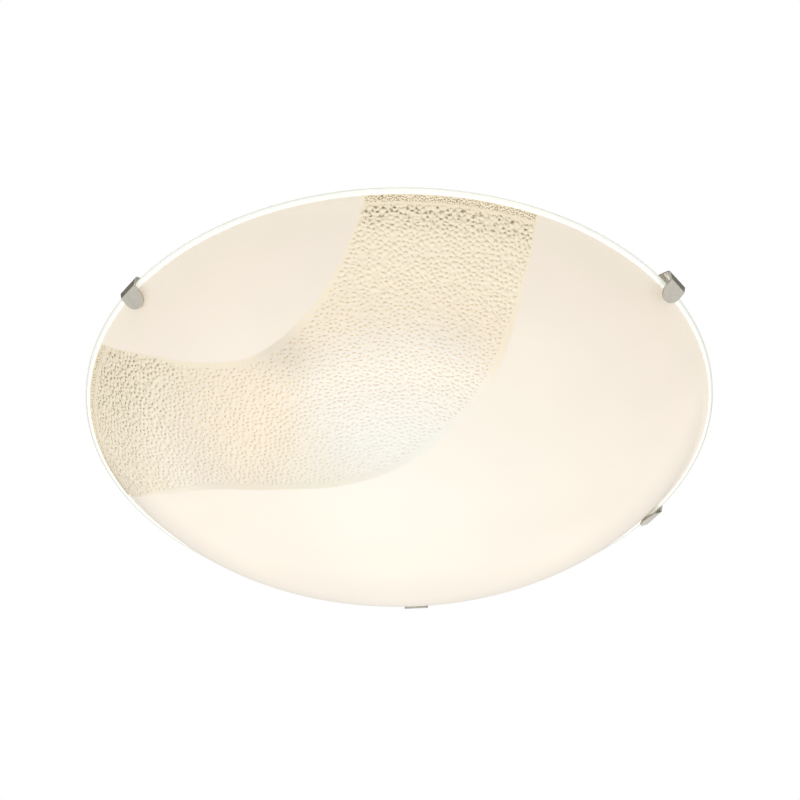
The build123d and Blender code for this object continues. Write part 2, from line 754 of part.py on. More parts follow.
# Terminal block: three poles, each with a wire entry and a clamping screw at both ends
terminal_top = floor_top + terminal_size[2]
barrel_top = terminal_top + terminal_barrel_height
with BuildPart() as terminal_block:
    with BuildSketch(Plane.XY.offset(floor_top)):
        with Locations(terminal_place):
            RectangleRounded(terminal_size[0], terminal_size[1], terminal_corner)
    extrude(amount=terminal_size[2])
    with BuildSketch(Plane.XY.offset(terminal_top)):
        with Locations(*terminal_screw_points):
            Circle(terminal_barrel_diameter / 2)
    extrude(amount=terminal_barrel_height)
    with BuildSketch(Plane.XY.offset(barrel_top)):
        with Locations(*terminal_screw_points):
            Circle(terminal_screw_diameter / 2 + shank_clearance)
    extrude(amount=-terminal_screw_recess - terminal_screw_length, mode=Mode.SUBTRACT)
    with BuildSketch(Plane.XY.offset(terminal_top)):
        with Locations(terminal_fixing_point):
            Circle(board_screw_diameter / 2 + hole_clearance)
    extrude(amount=-terminal_size[2], mode=Mode.SUBTRACT)
    for side in (-1, 1):
        with BuildSketch(Plane.YZ.offset(terminal_place[0] + side * terminal_size[0] / 2)):
            with Locations(*[(row, wire_entry_level) for row in terminal_rows]):
                Circle(wire_entry_diameter / 2)
        extrude(amount=-side * wire_entry_depth, mode=Mode.SUBTRACT)
save(terminal_block.part, "terminal_block")

with BuildPart() as terminal_screws:
    with BuildSketch(Plane.XY.offset(barrel_top - terminal_screw_recess)):
        with Locations(*terminal_screw_points):
            Circle(terminal_screw_diameter / 2)
    extrude(amount=-terminal_screw_length)
save(terminal_screws.part, "terminal_screws")

with BuildPart() as terminal_fixing_screw:
    with BuildSketch(Plane.XY.offset(terminal_top)):
        with Locations(terminal_fixing_point):
            Circle(terminal_fixing_head_diameter / 2)
    extrude(amount=board_screw_head_height)
    fillet(terminal_fixing_screw.edges().group_by(Axis.Z)[-1], radius=board_screw_head_height / 2)
    with BuildSketch(Plane.XY.offset(terminal_top)):
        with Locations(terminal_fixing_point):
            Circle(board_screw_diameter / 2)
    extrude(amount=-terminal_size[2] - pan_sheet - board_screw_reach)
save(terminal_fixing_screw.part, "terminal_fixing_screw")

# Earth terminal: a ring with a crimp barrel, held to the pan by its own screw
barrel_axis_level = floor_top + earth_barrel_diameter / 2
barrel_end = earth_place[1] + earth_ring_diameter / 2 + earth_barrel_length
barrel_start = earth_place[1] + board_screw_head_diameter / 2 + hole_clearance
with BuildPart() as earth_terminal:
    with BuildSketch(Plane.XZ.offset(-barrel_end)):
        with Locations((earth_place[0], barrel_axis_level)):
            Circle(earth_barrel_diameter / 2)
    extrude(amount=barrel_end - barrel_start)
    with BuildSketch(Plane.XY.offset(floor_top)):
        with Locations(earth_place):
            Circle(earth_ring_diameter / 2)
        with Locations((earth_place[0], (barrel_end + earth_place[1]) / 2)):
            Rectangle(earth_barrel_diameter, barrel_end - earth_place[1])
        with Locations(earth_place):
            Circle(board_screw_diameter / 2 + hole_clearance, mode=Mode.SUBTRACT)
    extrude(amount=earth_ring_thickness)
save(earth_terminal.part, "earth_terminal")

with BuildPart() as earth_screw:
    with BuildSketch(Plane.XY.offset(floor_top + earth_ring_thickness)):
        with Locations(earth_place):
            Circle(board_screw_head_diameter / 2)
    extrude(amount=board_screw_head_height)
    fillet(earth_screw.edges().group_by(Axis.Z)[-1], radius=board_screw_head_height / 2)
    with BuildSketch(Plane.XY.offset(floor_top + earth_ring_thickness)):
        with Locations(earth_place):
            Circle(board_screw_diameter / 2)
    extrude(amount=-earth_ring_thickness - pan_sheet - board_screw_reach)
save(earth_screw.part, "earth_screw")

# Inner wires, each along straight runs and tangent arcs
lead_start = terminal_side - wire_entry_depth + wire_end_gap
lead_end = driver_side + driver_wall + wire_end_gap
lead_run = (driver_side - terminal_side) / 4
supply_entries = {"neutral_lead": neutral_row, "live_lead": live_row}
for (lead_name, entry_row), inlet_row in zip(supply_entries.items(), supply_inlet_rows):
    supply_lead = lead(
        [
            (lead_start, entry_row, wire_entry_level),
            (terminal_side + lead_run, entry_row, wire_entry_level),
            (driver_side - lead_run, inlet_row, driver_inlet_level),
            (lead_end, inlet_row, driver_inlet_level),
        ],
        lead_bend_radius,
        lead_diameter,
    )
    save(supply_lead, lead_name)

earth_lead = lead(
    [
        (lead_start, earth_row, wire_entry_level),
        (earth_place[0], earth_row, wire_entry_level),
        (earth_place[0], (earth_row + barrel_end) / 2, barrel_axis_level),
        (earth_place[0], barrel_end, barrel_axis_level),
    ],
    earth_bend_radius,
    lead_diameter,
)
save(earth_lead, "earth_lead")

for lead_name, lead_row in zip(("led_lead_minus", "led_lead_plus"), led_lead_rows):
    led_lead = lead(
        [
            (lead_end, lead_row, driver_inlet_level),
            (lead_hole[0], lead_row, driver_inlet_level),
            (lead_hole[0], lead_row, board_bottom),
        ],
        led_lead_bend_radius,
        led_lead_diameter,
    )
    save(led_lead, lead_name)
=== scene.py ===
"""Dresses a glass ceiling light: grained bowl, clips, spring, screws, finishes and a plain studio."""

import math
import random

import bpy
import numpy as np
from bpy.props import FloatProperty, FloatVectorProperty, IntProperty, PointerProperty
from bpy.types import Operator, Panel, PropertyGroup
from mathutils import Matrix, Vector
from mathutils.geometry import delaunay_2d_cdt
from mathutils.kdtree import KDTree


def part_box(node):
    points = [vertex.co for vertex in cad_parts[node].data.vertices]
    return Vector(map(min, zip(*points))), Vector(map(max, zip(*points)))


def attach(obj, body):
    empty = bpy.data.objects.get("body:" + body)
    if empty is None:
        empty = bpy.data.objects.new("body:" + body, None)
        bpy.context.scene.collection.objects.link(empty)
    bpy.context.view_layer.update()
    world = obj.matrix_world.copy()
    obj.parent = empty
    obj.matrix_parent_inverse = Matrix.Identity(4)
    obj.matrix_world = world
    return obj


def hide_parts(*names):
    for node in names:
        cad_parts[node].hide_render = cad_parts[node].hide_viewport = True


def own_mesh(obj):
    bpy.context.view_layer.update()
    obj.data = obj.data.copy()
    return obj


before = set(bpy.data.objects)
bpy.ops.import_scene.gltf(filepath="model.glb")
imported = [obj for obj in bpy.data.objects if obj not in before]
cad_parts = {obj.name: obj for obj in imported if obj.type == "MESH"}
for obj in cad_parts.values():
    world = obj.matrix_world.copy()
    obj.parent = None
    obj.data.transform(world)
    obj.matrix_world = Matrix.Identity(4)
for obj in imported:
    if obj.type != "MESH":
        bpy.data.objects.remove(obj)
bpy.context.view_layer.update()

bl_info = {
    "name": "Glass ceiling light",
    "version": (1, 0, 0),
    "blender": (4, 5, 0),
    "location": "3D View > Sidebar > Ceiling light",
    "description": "Grained glass bowl, clips, spring, screws and finishes on the packed part",
    "category": "Object",
}

MM = 0.001

# Edges of the clear band seen from below, in mm: each runs from rim to rim
BAND_OUTER = (
    (-71, 148), (-79, 130), (-83, 106), (-80, 89), (-68, 64), (-46, 38), (-24, 13.5),
    (-9, -15), (-2, -50), (-1, -80), (-7, -108), (-16, -133), (-24, -160),
)
BAND_INNER = (
    (-153, 52), (-146.5, 34), (-136, 14.5), (-119, -5), (-104, -26), (-97, -58),
    (-96.5, -92), (-98.6, -114), (-101, -128),
)

# Unit vector from the light to the room's side, from where the photo was taken
# Faces of the bowl turned away from this side get painted shade and a weaker painted glow
ROOM_SIDE = (-0.424, -0.628, -0.652)

# Finishes of the bowl's faces, in the order of its material slots
COAT, BAND, CLEAR, BACK, EDGE = range(5)

# Steps along the band's edges, and where their lines stop short of the rim
LINE_STEP = 1.5 * MM
DENSE_STEP = 0.3 * MM
LINE_END = 0.5 * MM
EDGE_LINE = 0.1 * MM

# Points of the bowl's faces: their step or its share, how far they stray, and the room they leave free
COAT_STEP = 3.4 * MM
COAT_WOBBLE = 0.15
COAT_ROOM = 1.0 * MM
BAND_WOBBLE = 0.1
BAND_ROOM = 0.5 * MM
STRIP_STEP = 0.6
STRIP_ROOM = 0.3 * MM
EDGE_ROOM = 0.35 * MM

# Height of a lattice's rows over their step
ROW_RISE = 0.866

# Width of the finer points along the rim, and of the clear glass behind the band's edges
STRIP_MESH = 5.0 * MM
CLEAR_BORDER = 4.0 * MM

# The band's smooth border narrows between two distances from the middle, and ends softly
MARGIN_SPAN = (110 * MM, 150 * MM)
RIM_MARGIN = 0.5 * MM
MARGIN_SOFT = 1.0 * MM
RIM_SOFT = 0.8 * MM

# Chamfer of the rim's inner edge: across and down
INNER_CHAMFER = (0.6 * MM, 0.3 * MM)

# Pebbles, in shares of the grain: the fine ones, how far each strays, its bulk, its slope and its dot of
# painted shade
FINE_GRAIN = 0.5
PEBBLE_WOBBLE = 0.42
PEBBLE_BULK = 0.22
PEBBLE_SLOPE = 0.6
DOT_SHIFT = 0.22
DOT_SIZE = 0.22

# Where the band's near end begins and is reached, along Y: towards it the painted shade keeps nearer the rim
# and the painted glow is stronger
NEAR_END = (40 * MM, -110 * MM)

GLASS_IOR = 1.52
ENAMEL_IOR = 1.5
SILICONE_IOR = 1.41

# Screws, in shares of the shank or of the head, and the counts of a pitch's steps and of a cap's rings
HEAD_RATIO = 1.15
HEAD_WALL = 0.55
THREAD_DEPTH = 0.1
THREAD_STEPS = 8
TIP_WIDTH = 0.7
TIP_LENGTH = 0.5
CAP_RINGS = 17
CROSS_ARM = 0.13
CROSS_REACH = 0.52
GRUB_CAP = 0.92
GRUB_SLOT = 0.9
SLOT_HALF = 0.16
SCREWS = (
    "pan_screws",
    "board_screws",
    "cover_screws",
    "driver_screws",
    "earth_screw",
    "terminal_fixing_screw",
    "terminal_screws",
)

# Soft lamps: name, place and side in metres, power in watts
LAMPS = (
    ("key_lamp", (0.8, 1.2, -1.4), 1.2, 6.0),
    ("fill_lamp", (-1.2, -0.9, -1.4), 1.4, 2.5),
    ("top_lamp", (0.5, 0.8, 1.7), 1.6, 9.0),
)

# Disc lamp inside the bowl: diameter, power, and how far it hangs below the opal cover
BOUNCE_SIZE = 0.236
BOUNCE_POWER = 0.13
BOUNCE_DROP = 8 * MM

# Ring of grey card: its sides, radii and height above the ceiling's plane
CARD_SIDES = 64
CARD_RADII = (0.34, 0.9)
CARD_HEIGHT = 0.35

# The camera's clipping range, the size of the floor's mottle, and the strength of the even light
CLIP_SPAN = (0.05, 50.0)
FLOOR_MOTTLE = 1 / 3
ROOM_LIGHT = 0.5
WHITE = (1.0, 1.0, 1.0, 1.0)


def metres(name, text, value):
    """A length among the settings."""
    return FloatProperty(name=name, description=text, default=value, unit="LENGTH")


def degrees(name, text, value):
    """An angle among the settings, given in degrees."""
    return FloatProperty(name=name, description=text, default=math.radians(value), subtype="ANGLE")


class BowlSettings(PropertyGroup):
    """The bent glass bowl."""

    thickness: metres("Glass", "Thickness of the glass", 3.0 * MM)
    rim_ledge: metres("Ledge", "Width of the flat clear rim", 3.2 * MM)
    shoulder_radius: metres("Shoulder", "Outer radius of the bent shoulder", 78.0 * MM)
    shoulder_slope: degrees("Slope", "Steepness of the wall at the rim", 59)
    rim_fillet: metres("Fillet", "Radius between the wall and the rim", 2.0 * MM)
    grain: metres("Grain", "Distance between the band's pebbles", 2.7 * MM)
    strip: metres("Strip", "Width of the fine strip along the rim", 4.6 * MM)
    groove: metres("Groove", "Reach of the smooth line beside it", 0.9 * MM)
    edge_corner: metres("Corner", "Radius of the rim's corners", 0.8 * MM)
    relief: metres("Relief", "Depth of the gaps between pebbles", 0.2 * MM)
    margin: metres("Margin", "Smooth border along the band", 3.4 * MM)
    mesh_step: metres("Step", "Distance between the band's points", 0.62 * MM)
    segments: IntProperty(name="Segments", description="Points round the rim", default=540, min=60)
    seed: IntProperty(name="Seed", description="Seed of the grain", default=11)


class SpringSettings(PropertyGroup):
    """The coil spring of the sliding clip."""

    wire: metres("Wire", "Wire diameter", 0.7 * MM)
    turns: IntProperty(name="Turns", description="Turns of the coil", default=9, min=2)
    steps: IntProperty(name="Steps", description="Points along each turn", default=28, min=8)
    sides: IntProperty(name="Sides", description="Points round the wire", default=10, min=5)


class ScrewSettings(PropertyGroup):
    """All screws."""

    segments: IntProperty(name="Segments", description="Points round a screw", default=48, min=12)
    pitch: FloatProperty(
        name="Pitch", description="Thread pitch, a share of the diameter", default=0.175, subtype="FACTOR"
    )
    recess: FloatProperty(
        name="Recess", description="Depth of the drive, a share of the head", default=0.62, subtype="FACTOR"
    )


class StageSettings(PropertyGroup):
    """Camera, lamps and floor."""

    azimuth: degrees("Azimuth", "Camera's turn about the axis", -34.0)
    elevation: degrees("Elevation", "Camera's height angle", -40.73)
    roll: degrees("Roll", "Camera's roll", 0.557)
    distance: metres("Distance", "Camera to the rim's middle", 2.205)
    lens: FloatProperty(name="Lens", description="Focal length in mm", default=197.36)
    sensor: FloatProperty(name="Sensor", description="Width of the sensor in mm", default=36.0)
    shift: FloatVectorProperty(
        name="Shift", description="Lens shift as a share of the width", default=(0.0008, 0.0087), size=2
    )
    floor_level: metres("Floor", "Level of the floor, from the ceiling", -3.0)
    floor_half: metres("Floor half", "Half the side of the floor", 5.0)


class CeilingLightSettings(PropertyGroup):
    """Everything that can be set."""

    bowl: PointerProperty(type=BowlSettings)
    spring: PointerProperty(type=SpringSettings)
    screws: PointerProperty(type=ScrewSettings)
    stage: PointerProperty(type=StageSettings)


def colour(code):
    """A hex colour of the screen as the linear colour that shaders use."""
    parts = [int(code[i : i + 2], 16) / 255 for i in (1, 3, 5)]
    return tuple(c / 12.92 if c <= 0.04045 else ((c + 0.055) / 1.055) ** 2.4 for c in parts) + (1.0,)


def add(tree, kind, values=None, **settings):
    """A shader node with its settings; a value that is another node's socket is linked."""
    made = tree.nodes.new(kind)
    for key, value in settings.items():
        setattr(made, key, value)
    for key, value in (values or {}).items():
        if isinstance(value, bpy.types.NodeSocket):
            tree.links.new(value, made.inputs[key])
        else:
            made.inputs[key].default_value = value
    return made


def start_material(name):
    """An empty material, its node tree and the object's own coordinates."""
    made = bpy.data.materials.new(name)
    made.use_nodes = True
    made.node_tree.nodes.clear()
    place = add(made.node_tree, "ShaderNodeTexCoord").outputs["Object"]
    return made, made.node_tree, place


def end_material(tree, values):
    """The Principled shader and the output."""
    shader = add(tree, "ShaderNodeBsdfPrincipled", values)
    add(tree, "ShaderNodeOutputMaterial", {"Surface": shader.outputs["BSDF"]})


def axis_distance(tree, place):
    """Distance from the light's axis, in metres."""
    flat = add(tree, "ShaderNodeVectorMath", {0: place, 1: (1, 1, 0)}, operation="MULTIPLY")
    return add(tree, "ShaderNodeVectorMath", {0: flat.outputs[0]}, operation="LENGTH").outputs["Value"]


def ramp(tree, factor, stops):
    """Colours over a factor: a list of (position, hex)."""
    made = add(tree, "ShaderNodeValToRGB", {"Fac": factor})
    for spare in list(made.color_ramp.elements)[1:]:
        made.color_ramp.elements.remove(spare)
    for i, (position, code) in enumerate(stops):
        element = made.color_ramp.elements[0] if i == 0 else made.color_ramp.elements.new(position)
        element.position = position
        element.color = colour(code)
    return made.outputs["Color"]


def remap(tree, value, start, end, low=0.0, high=1.0, **settings):
    """A value carried from one span to another, and held within it."""
    spans = {"Value": value, "From Min": start, "From Max": end, "To Min": low, "To Max": high}
    return add(tree, "ShaderNodeMapRange", spans, **settings).outputs[0]


def reckon(tree, operation, *values):
    """What a named operation makes of numbers and sockets."""
    return add(tree, "ShaderNodeMath", dict(enumerate(values)), operation=operation).outputs[0]


def noise(tree, place, size, detail=2.0):
    """Noise with features of a size in metres."""
    values = {"Vector": place, "Scale": 1 / size, "Detail": detail}
    return add(tree, "ShaderNodeTexNoise", values).outputs["Fac"]


def pointing(tree, vector, direction):
    """How far a vector points in a direction."""
    both = {0: vector, 1: direction}
    return add(tree, "ShaderNodeVectorMath", both, operation="DOT_PRODUCT").outputs["Value"]


def mottled(name, low, high, size, rough, bump=0.0, stretch=(1, 1, 1), edge=0.15 * MM, **shader):
    """A finish with two near colours mottled at a size in metres, and a fine bump of that size."""
    made, tree, place = start_material(name)
    where = add(tree, "ShaderNodeMapping", {"Vector": place, "Scale": stretch}).outputs[0]
    fine = noise(tree, where, size, 4.0)
    broad = noise(tree, place, 24 * size)
    both = reckon(tree, "MULTIPLY_ADD", fine, broad, 0.25)
    tint = ramp(tree, both, [(0.32, low), (0.68, high)])
    sheen = remap(tree, fine, 0.3, 0.7, rough * 0.82, rough * 1.18)
    soft = add(tree, "ShaderNodeBevel", {"Radius": edge}, samples=4).outputs[0]
    height = {"Height": fine, "Strength": 0.6, "Distance": bump, "Normal": soft}
    relief = add(tree, "ShaderNodeBump", height).outputs[0]
    end_material(tree, {"Base Color": tint, "Roughness": sheen, "Normal": relief, **shader})
    return made


def dress(material, *nodes):
    """Gives CAD nodes one material."""
    for name in nodes:
        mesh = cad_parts[name].data
        mesh.materials.clear()
        mesh.materials.append(material)


def new_mesh(name, points, faces, materials, smooth=True):
    """An object from points in metres and faces."""
    mesh = bpy.data.meshes.new(name)
    mesh.from_pydata([tuple(p) for p in points], [], [tuple(f) for f in faces])
    for material in materials:
        mesh.materials.append(material)
    mesh.polygons.foreach_set("use_smooth", [smooth] * len(mesh.polygons))
    mesh.validate()
    made = bpy.data.objects.new(name, mesh)
    bpy.context.scene.collection.objects.link(made)
    return made


class BowlShape:
    """The bowl's profile as two arcs, worked out from the CAD node's box and the settings."""

    def __init__(self, settings):
        low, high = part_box("glass_bowl")
        self.thickness = settings.thickness
        self.rim_radius = (high[0] - low[0]) / 2
        self.rim_top = high[2]
        self.rim_bottom = high[2] - settings.thickness
        self.neck = self.rim_radius - settings.rim_ledge
        self.slope = settings.shoulder_slope
        self.small = settings.shoulder_radius
        depth = self.rim_bottom - low[2]
        rise = depth - self.small * (1 - math.cos(self.slope))
        self.turn = 2 * math.atan(rise / (self.neck - self.small * math.sin(self.slope)))
        self.large = self.small + (self.neck - self.small * math.sin(self.slope)) / math.sin(self.turn)
        self.centre = low[2] + self.large
        self.shoulder = (
            (self.large - self.small) * math.sin(self.turn),
            self.centre - (self.large - self.small) * math.cos(self.turn),
        )
        self.join = self.large * self.turn
        self.fillet = settings.rim_fillet
        pull = self.fillet * math.tan(self.slope / 2)
        self.ledge = self.neck + pull
        self.wall = self.join + self.small * (self.slope - self.turn) - pull
        self.reach = self.wall + self.fillet * self.slope

    def lift(self, flat, depth):
        """Points of the flattened disc, moved onto the outer face and then inwards by a depth."""
        along = np.maximum(np.hypot(flat[:, 0], flat[:, 1]), 1e-9)
        crown = along <= self.join
        angle = np.where(crown, along / self.large, self.turn + (along - self.join) / self.small)
        radius = np.where(crown, self.large, self.small) - depth
        out = np.where(crown, 0, self.shoulder[0]) + radius * np.sin(angle)
        up = np.where(crown, self.centre, self.shoulder[1]) - radius * np.cos(angle)
        bent = along > self.wall
        lean = np.maximum(self.slope - (along - self.wall) / self.fillet, 0)
        out = np.where(bent, self.ledge - (self.fillet + depth) * np.sin(lean), out)
        up = np.where(bent, self.rim_bottom - self.fillet + (self.fillet + depth) * np.cos(lean), up)
        return np.column_stack([flat[:, 0] / along * out, flat[:, 1] / along * out, up])

    def flatten(self, plan):
        """Points seen from below, moved to the flattened disc."""
        out = np.maximum(np.hypot(plan[:, 0], plan[:, 1]), 1e-9)
        crown = out <= self.large * math.sin(self.turn)
        on_crown = self.large * np.arcsin(np.minimum(out / self.large, 1))
        share = np.clip((out - self.shoulder[0]) / self.small, -1, math.sin(self.slope + 0.2))
        on_shoulder = self.join + self.small * (np.arcsin(share) - self.turn)
        along = np.where(crown, on_crown, on_shoulder)
        lean = np.arcsin(np.clip((self.ledge - out) / self.fillet, 0, 1))
        on_fillet = self.wall + self.fillet * (self.slope - lean) + np.maximum(out - self.ledge, 0)
        along = np.where(out > self.ledge - self.fillet * math.sin(self.slope), on_fillet, along)
        return plan * (along / out)[:, None]


def smooth_line(knots, step):
    """A smooth line through knots, with points about a step apart."""
    k = np.array(knots, float)
    k = np.vstack([2 * k[0] - k[1], k, 2 * k[-1] - k[-2]])
    line = []
    for a, b, c, d in zip(k, k[1:], k[2:], k[3:]):
        count = max(int(np.linalg.norm(c - b) / step), 1)
        bend = 2 * a - 5 * b + 4 * c - d
        twist = 3 * b - a - 3 * c + d
        line += [0.5 * (2 * b + (c - a) * t + bend * t**2 + twist * t**3) for t in np.arange(count) / count]
    line.append(k[-2])
    return np.array(line)


def inside(points, polygon):
    """Which points lie inside a polygon."""
    x, y = points[:, 0], points[:, 1]
    found = np.zeros(len(points), bool)
    for (x0, y0), (x1, y1) in zip(polygon, np.roll(polygon, -1, axis=0)):
        if y0 != y1:
            crosses = (y0 > y) != (y1 > y)
            found ^= crosses & (x < x0 + (y - y0) * (x1 - x0) / (y1 - y0))
    return found


def nearest(points, others, count):
    """The nearest others to each point: their distances and their numbers, a column for each."""
    tree = KDTree(len(others))
    for i, p in enumerate(others):
        tree.insert((p[0], p[1], 0), i)
    tree.balance()
    hits = [tree.find_n((p[0], p[1], 0), count) for p in points]
    return np.array([[h[2] for h in row] for row in hits]), np.array([[h[1] for h in row] for row in hits])


def lattice(reach, step, wobble, chance):
    """A triangular lattice over a disc, each point moved a little."""
    rows = int(reach / (step * ROW_RISE)) + 1
    found = []
    for row in range(-rows, rows + 1):
        shift = 0.5 * step * (row % 2)
        for column in range(-rows - 1, rows + 2):
            x = column * step + shift + chance.uniform(-wobble, wobble) * step
            y = row * step * ROW_RISE + chance.uniform(-wobble, wobble) * step
            if math.hypot(x, y) < reach:
                found.append((x, y))
    return np.array(found)


def ease(low, high, value):
    """A smooth step from 0 to 1."""
    t = np.clip((value - low) / (high - low), 0, 1)
    return t * t * (3 - 2 * t)


class BandPlan:
    """The band's edges on the flattened disc, and the disc's rim."""

    def __init__(self, shape, settings):
        self.reach = shape.reach
        self.lines = []
        ends = []
        for knots in (BAND_OUTER, BAND_INNER):
            line = shape.flatten(smooth_line(np.array(knots) * MM, LINE_STEP))
            line = line[np.hypot(line[:, 0], line[:, 1]) < self.reach - LINE_END]
            for end in (0, -1):
                tip = line[end] * (self.reach / np.linalg.norm(line[end]))
                ends.append(math.atan2(tip[1], tip[0]))
            self.lines.append(line)
        count = settings.segments
        turns = [2 * math.pi * i / count for i in range(count)]
        self.tips = []
        for end in ends:
            at = round(end / (2 * math.pi) * count) % count
            turns[at] = end % (2 * math.pi)
            self.tips.append(at)
        self.turns = turns
        self.rim = self.reach * np.column_stack([np.cos(turns), np.sin(turns)])
        top, low, left, bottom = [self.rim[at] for at in self.tips]
        corner = self.arc(self.tips[1], self.tips[3])
        back = self.arc(self.tips[2], self.tips[0])
        self.polygon = np.vstack(
            [[top], self.lines[0], [low], corner, [bottom], self.lines[1][::-1], [left], back]
        )
        self.dense = np.vstack(
            [
                smooth_line(np.vstack([[top], self.lines[0], [low]]), DENSE_STEP),
                smooth_line(np.vstack([[left], self.lines[1], [bottom]]), DENSE_STEP),
            ]
        )

    def arc(self, first, last):
        """Rim points strictly between two of them, the short way."""
        count = len(self.rim)
        ahead = (last - first) % count
        way = 1 if ahead <= count / 2 else -1
        steps = range(1, ahead) if way == 1 else range(1, count - ahead)
        return np.array([self.rim[(first + way * i) % count] for i in steps])

    def edge_distance(self, points):
        """How far points lie from the band's edges."""
        return nearest(points, self.dense, 1)[0][:, 0]

    def triangles(self, points):
        """A triangulation that keeps the rim and the band's edges, with the points that have room there."""
        count = len(self.rim)
        coords = [Vector(p) for p in self.rim]
        edges = [(i, (i + 1) % count) for i in range(count)]
        for line, (a, b) in zip(self.lines, (self.tips[:2], self.tips[2:])):
            first = len(coords)
            coords += [Vector(p) for p in line]
            chain = [a, *range(first, len(coords)), b]
            edges += list(zip(chain, chain[1:]))
        coords += [Vector(p) for p in points[self.edge_distance(points) > EDGE_ROOM]]
        verts, _, faces, origin, _, _ = delaunay_2d_cdt(coords, edges, [], 0, 1e-9)
        rim = {source: i for i, sources in enumerate(origin) for source in sources if source < count}
        return np.array([(v[0], v[1]) for v in verts]), np.array(faces), [rim[i] for i in range(count)]


def grain(flat, plan, settings, chance):
    """For each point of the flattened disc: how deep it lies between pebbles and how dark its spot of painted
    shade is, from 0 to 1, and how the pebble's side leans, from -1 (towards the middle) to 1 (towards the
    rim)."""
    strip = plan.reach - settings.strip
    small = settings.grain * FINE_GRAIN
    coarse = lattice(plan.reach, settings.grain, PEBBLE_WOBBLE, chance)
    fine = lattice(plan.reach, small, PEBBLE_WOBBLE, chance)
    coarse = coarse[np.hypot(coarse[:, 0], coarse[:, 1]) < strip]
    fine = fine[np.hypot(fine[:, 0], fine[:, 1]) > strip]
    cells = np.vstack([coarse, fine])
    size = np.repeat([settings.grain, small], [len(coarse), len(fine)])
    bulk = np.array([chance.uniform(0, PEBBLE_BULK) for _ in cells])
    luck = np.array([chance.random() for _ in cells])
    away, number = nearest(flat, cells, 4)
    far = away / size[number[:, :1]] - bulk[number]
    order = np.argsort(far, axis=1)
    far = np.take_along_axis(far, order, axis=1)
    number = np.take_along_axis(number, order, axis=1)
    rise = np.clip((far[:, 1] - far[:, 0]) / PEBBLE_SLOPE, 0, 1)
    valley = 1 - ease(0, 1, rise)
    reach = np.hypot(flat[:, 0], flat[:, 1])
    out = flat / np.maximum(reach, 1e-9)[:, None]
    towards = [flat - cells[number[:, i]] for i in (0, 1)]
    unit = [t / np.maximum(np.hypot(t[:, 0], t[:, 1]), 1e-9)[:, None] for t in towards]
    lean = ((unit[0] - unit[1]) * out).sum(axis=1) * 2 * rise * (1 - rise)
    # Painted shade: a dot on the rim side of some pebbles, their rim-facing flanks and their corners, densest
    # in the fine strip
    corner = 1 - ease(0.04, 0.4, far[:, 2] - far[:, 0])
    offset = towards[0] / size[number[:, :1]] - DOT_SHIFT * out
    dot = np.where(reach > strip, 0, np.exp(-(offset**2).sum(axis=1) / DOT_SIZE**2))
    flank = 0.5 * ease(0.3, 0.75, lean)
    shadow = np.maximum(dot, flank) * ease(0.1, 0.6, luck[number[:, 0]])
    shade_spot = np.maximum(shadow, corner * np.where(reach > strip, 0.9, 0.3))
    ring = 1 - np.exp(-(((reach - strip) / settings.groove) ** 2))
    return valley * ring, shade_spot * ring, lean * ring


def fired_coat(shape):
    """White enamel sprayed and fired on glass: an even satin white with a painted glow that stands in for the
    light from inside, painted warmer and darker towards the rim as painted shade, and with less painted glow
    where the bowl turns away from the room's side."""
    made, tree, place = start_material("white_enamel_sprayed_and_fired")
    share = remap(tree, axis_distance(tree, place), 0.0, shape.rim_radius)
    # Painted glow: the emission stands in for the light from inside, its colour painted warmer and darker
    # towards the rim as painted shade
    warm = [(0.0, "#FFFBF0"), (0.35, "#FFF6E6"), (0.7, "#FFF0DF"), (0.9, "#FBE9D6"), (1.0, "#F2E2CC")]
    speck = noise(tree, place, 0.7 * MM, 3.0)
    cloud = noise(tree, place, 60 * MM)
    level = remap(tree, cloud, 0.3, 0.7, 0.39, 0.43)
    # Painted shade: less glow where the bowl turns away from the room's side
    side = add(tree, "ShaderNodeTexCoord").outputs["Normal"]
    shade = remap(tree, pointing(tree, side, ROOM_SIDE), 0.0, 0.45, 0.2, 1.0)
    skin = {"Height": speck, "Strength": 0.15, "Distance": 0.02 * MM}
    end_material(
        tree,
        {
            "Base Color": ramp(tree, speck, [(0.3, "#F1EBDF"), (0.7, "#F7F1E6")]),
            "Roughness": 0.42,
            "IOR": ENAMEL_IOR,
            "Emission Color": ramp(tree, share, warm),
            "Emission Strength": reckon(tree, "MULTIPLY", level, shade),
            "Normal": add(tree, "ShaderNodeBump", skin).outputs[0],
        },
    )
    return made


def inner_coat():
    """The back of the enamel, seen through the glass: a glossy white."""
    return mottled("white_enamel_behind_glass", "#E9E4DA", "#F1ECE2", 0.7 * MM, 0.2, 0.005 * MM)


